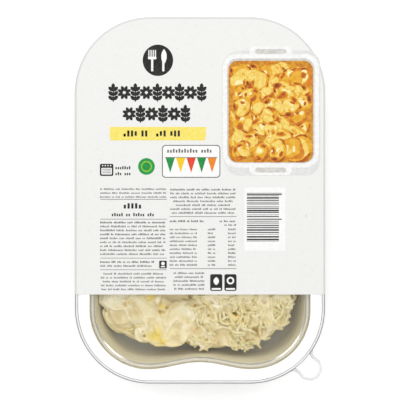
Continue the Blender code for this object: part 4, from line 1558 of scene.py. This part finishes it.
def store_tints(mesh, relief, pits=()):
    """Stores the ochre painted shade of each vertex, by how deep it lies and in the pits, and how buttery,
    bare or white it is.
    """
    places = vertex_places(mesh)
    near, far = relief.depths(places, 3) / MM, relief.depths(places, 9) / MM
    # Ochre painted shade where the vertex lies below the average top around it, near and farther out, and in
    # the pits
    hollow_shade = 0.6 * np.clip(near / 1.1 - 0.16, 0, 1) + 0.5 * np.clip(far / 4 - 0.1, 0, 1)
    for x, y, radius, depth in pits:
        hollow_shade = np.maximum(hollow_shade, patch_share(places, [(x, y, PIT_SHADE * radius)]) * depth / 1.8)
    store(mesh, "hollow_shade", np.clip(hollow_shade, 0, 1))
    for name, strength, patches in (
        ("butter", 0.9, BUTTER_PATCHES),
        ("potato", 0.7, POTATO_PATCHES),
        ("white", 0.8, CREAM_PATCHES),
    ):
        store(mesh, name, np.clip(strength * patch_share(places, patches), 0, 1))


def place_gratin(bm, rng, sauce, cheese, in_window):
    """Makes one half of the gratin: its skin of fused parts, and the loose shreds of cheese on it."""
    voxel, keep, name = (WINDOW_VOXEL, -1, "in_window") if in_window else (CORE_VOXEL, 1, "under_label")
    skin = fused(bm, voxel, keep)
    fill_hollows(skin)
    if in_window:
        sink_pits(skin)
    for vert in skin.verts:
        vert.co = keep_inside(vert.co)
    top = Relief(skin)
    loose = Shreds(top, rng, sunk=0.9)
    for _ in range(LOOSE_SHREDS if in_window else LOOSE_COVERED_SHREDS):
        x = rng.uniform(-4, 58) if rng.random() < 0.95 or not in_window else rng.uniform(-60, 0)
        y = rng.uniform(-90, -46) if in_window else rng.uniform(-44, 88)
        loose.scatter(x, y, (7, 15), (1.7, 2.3), 0.34)
    skin_mesh = mesh_from(skin, f"potato_gratin_{name}", sauce)
    store_tints(skin_mesh, top, PITS)
    place_piece(skin_mesh, skin_mesh.name, "gratin")
    loose_mesh = loose.mesh(f"grated_cheese_{name}")
    loose_mesh.materials.append(cheese)
    store_tints(loose_mesh, top)
    place_piece(loose_mesh, loose_mesh.name)


def make_gratin():
    """The gratin: a skin over potato slices and sunken cheese, finer in the window than under the label."""
    rng = random.Random(11)
    covered = covered_slices(rng)
    bm, window_bm = bmesh.new(), bmesh.new()
    add_parts(bm, covered, in_window=False)
    relief = Relief(bm)
    window_shreds = Shreds(relief, rng, sunk=1)
    lay_window(window_shreds, rng)
    covered_shreds = Shreds(relief, rng, sunk=1)
    for _ in range(COVERED_SHREDS):
        middle = (rng.uniform(-60, 56) * MM, rng.uniform(-44, 88) * MM)
        covered_shreds.lay(middle, rng.uniform(9, 18) * MM, rng.gauss(0, 1.6), rng.uniform(1.5, 2.1) * MM)
    add_parts(window_bm, covered, in_window=True)
    window_bm.from_mesh(window_shreds.mesh("draft"))
    bm.from_mesh(covered_shreds.mesh("draft"))
    bm.from_mesh(window_shreds.mesh("draft"))
    finishes = (cream_sauce(), grated_cheese())
    place_gratin(window_bm, rng, *finishes, in_window=True)
    place_gratin(bm, rng, *finishes, in_window=False)


def softbox(name, azimuth, elevation, distance, width, height, power):
    """An area light that faces the pack from this direction."""
    lamp = bpy.data.lights.new(name, "AREA")
    lamp.shape = "RECTANGLE"
    lamp.size, lamp.size_y, lamp.energy = width, height, power
    azimuth, elevation = math.radians(azimuth), math.radians(elevation)
    level = math.cos(elevation)
    towards = Vector((level * math.cos(azimuth), level * math.sin(azimuth), math.sin(elevation)))
    light = bpy.data.objects.new(name, lamp)
    light.location = towards * distance
    light.rotation_euler = towards.to_track_quat("Z", "Y").to_euler()
    bpy.context.scene.collection.objects.link(light)


def make_set():
    """Camera straight above, pale floor and sky, softboxes above, in front, behind and at the far corners."""
    scene = bpy.context.scene
    scene.view_settings.view_transform = "Standard"
    camera = bpy.data.objects.new("camera", bpy.data.cameras.new("camera"))
    camera.data.sensor_width = SENSOR
    camera.data.lens = SENSOR * CAMERA_DISTANCE / (PHOTO_PIXELS * PIXEL)
    camera.location = (0, CAMERA_Y, RIM_HEIGHT + CAMERA_DISTANCE)
    scene.collection.objects.link(camera)
    scene.camera = camera

    bm = bmesh.new()
    bmesh.ops.create_grid(bm, x_segments=2, y_segments=2, size=FLOOR_SIZE)
    bmesh.ops.translate(bm, verts=bm.verts, vec=(0, 0, FLOOR_Z))
    floor = bpy.data.objects.new("studio_floor", mesh_from(bm, "studio_floor", floor_finish()))
    scene.collection.objects.link(floor)

    scene.world = bpy.data.worlds.new("studio")
    scene.world.use_nodes = True
    sky = scene.world.node_tree.nodes["Background"]
    sky.inputs["Color"].default_value = WHITE
    sky.inputs["Strength"].default_value = SKY_STRENGTH
    for name, settings in SOFTBOXES.items():
        softbox(f"softbox {name}", *settings)


make_set()
make_tray()
make_gratin()
make_film()
make_label()
make_print()
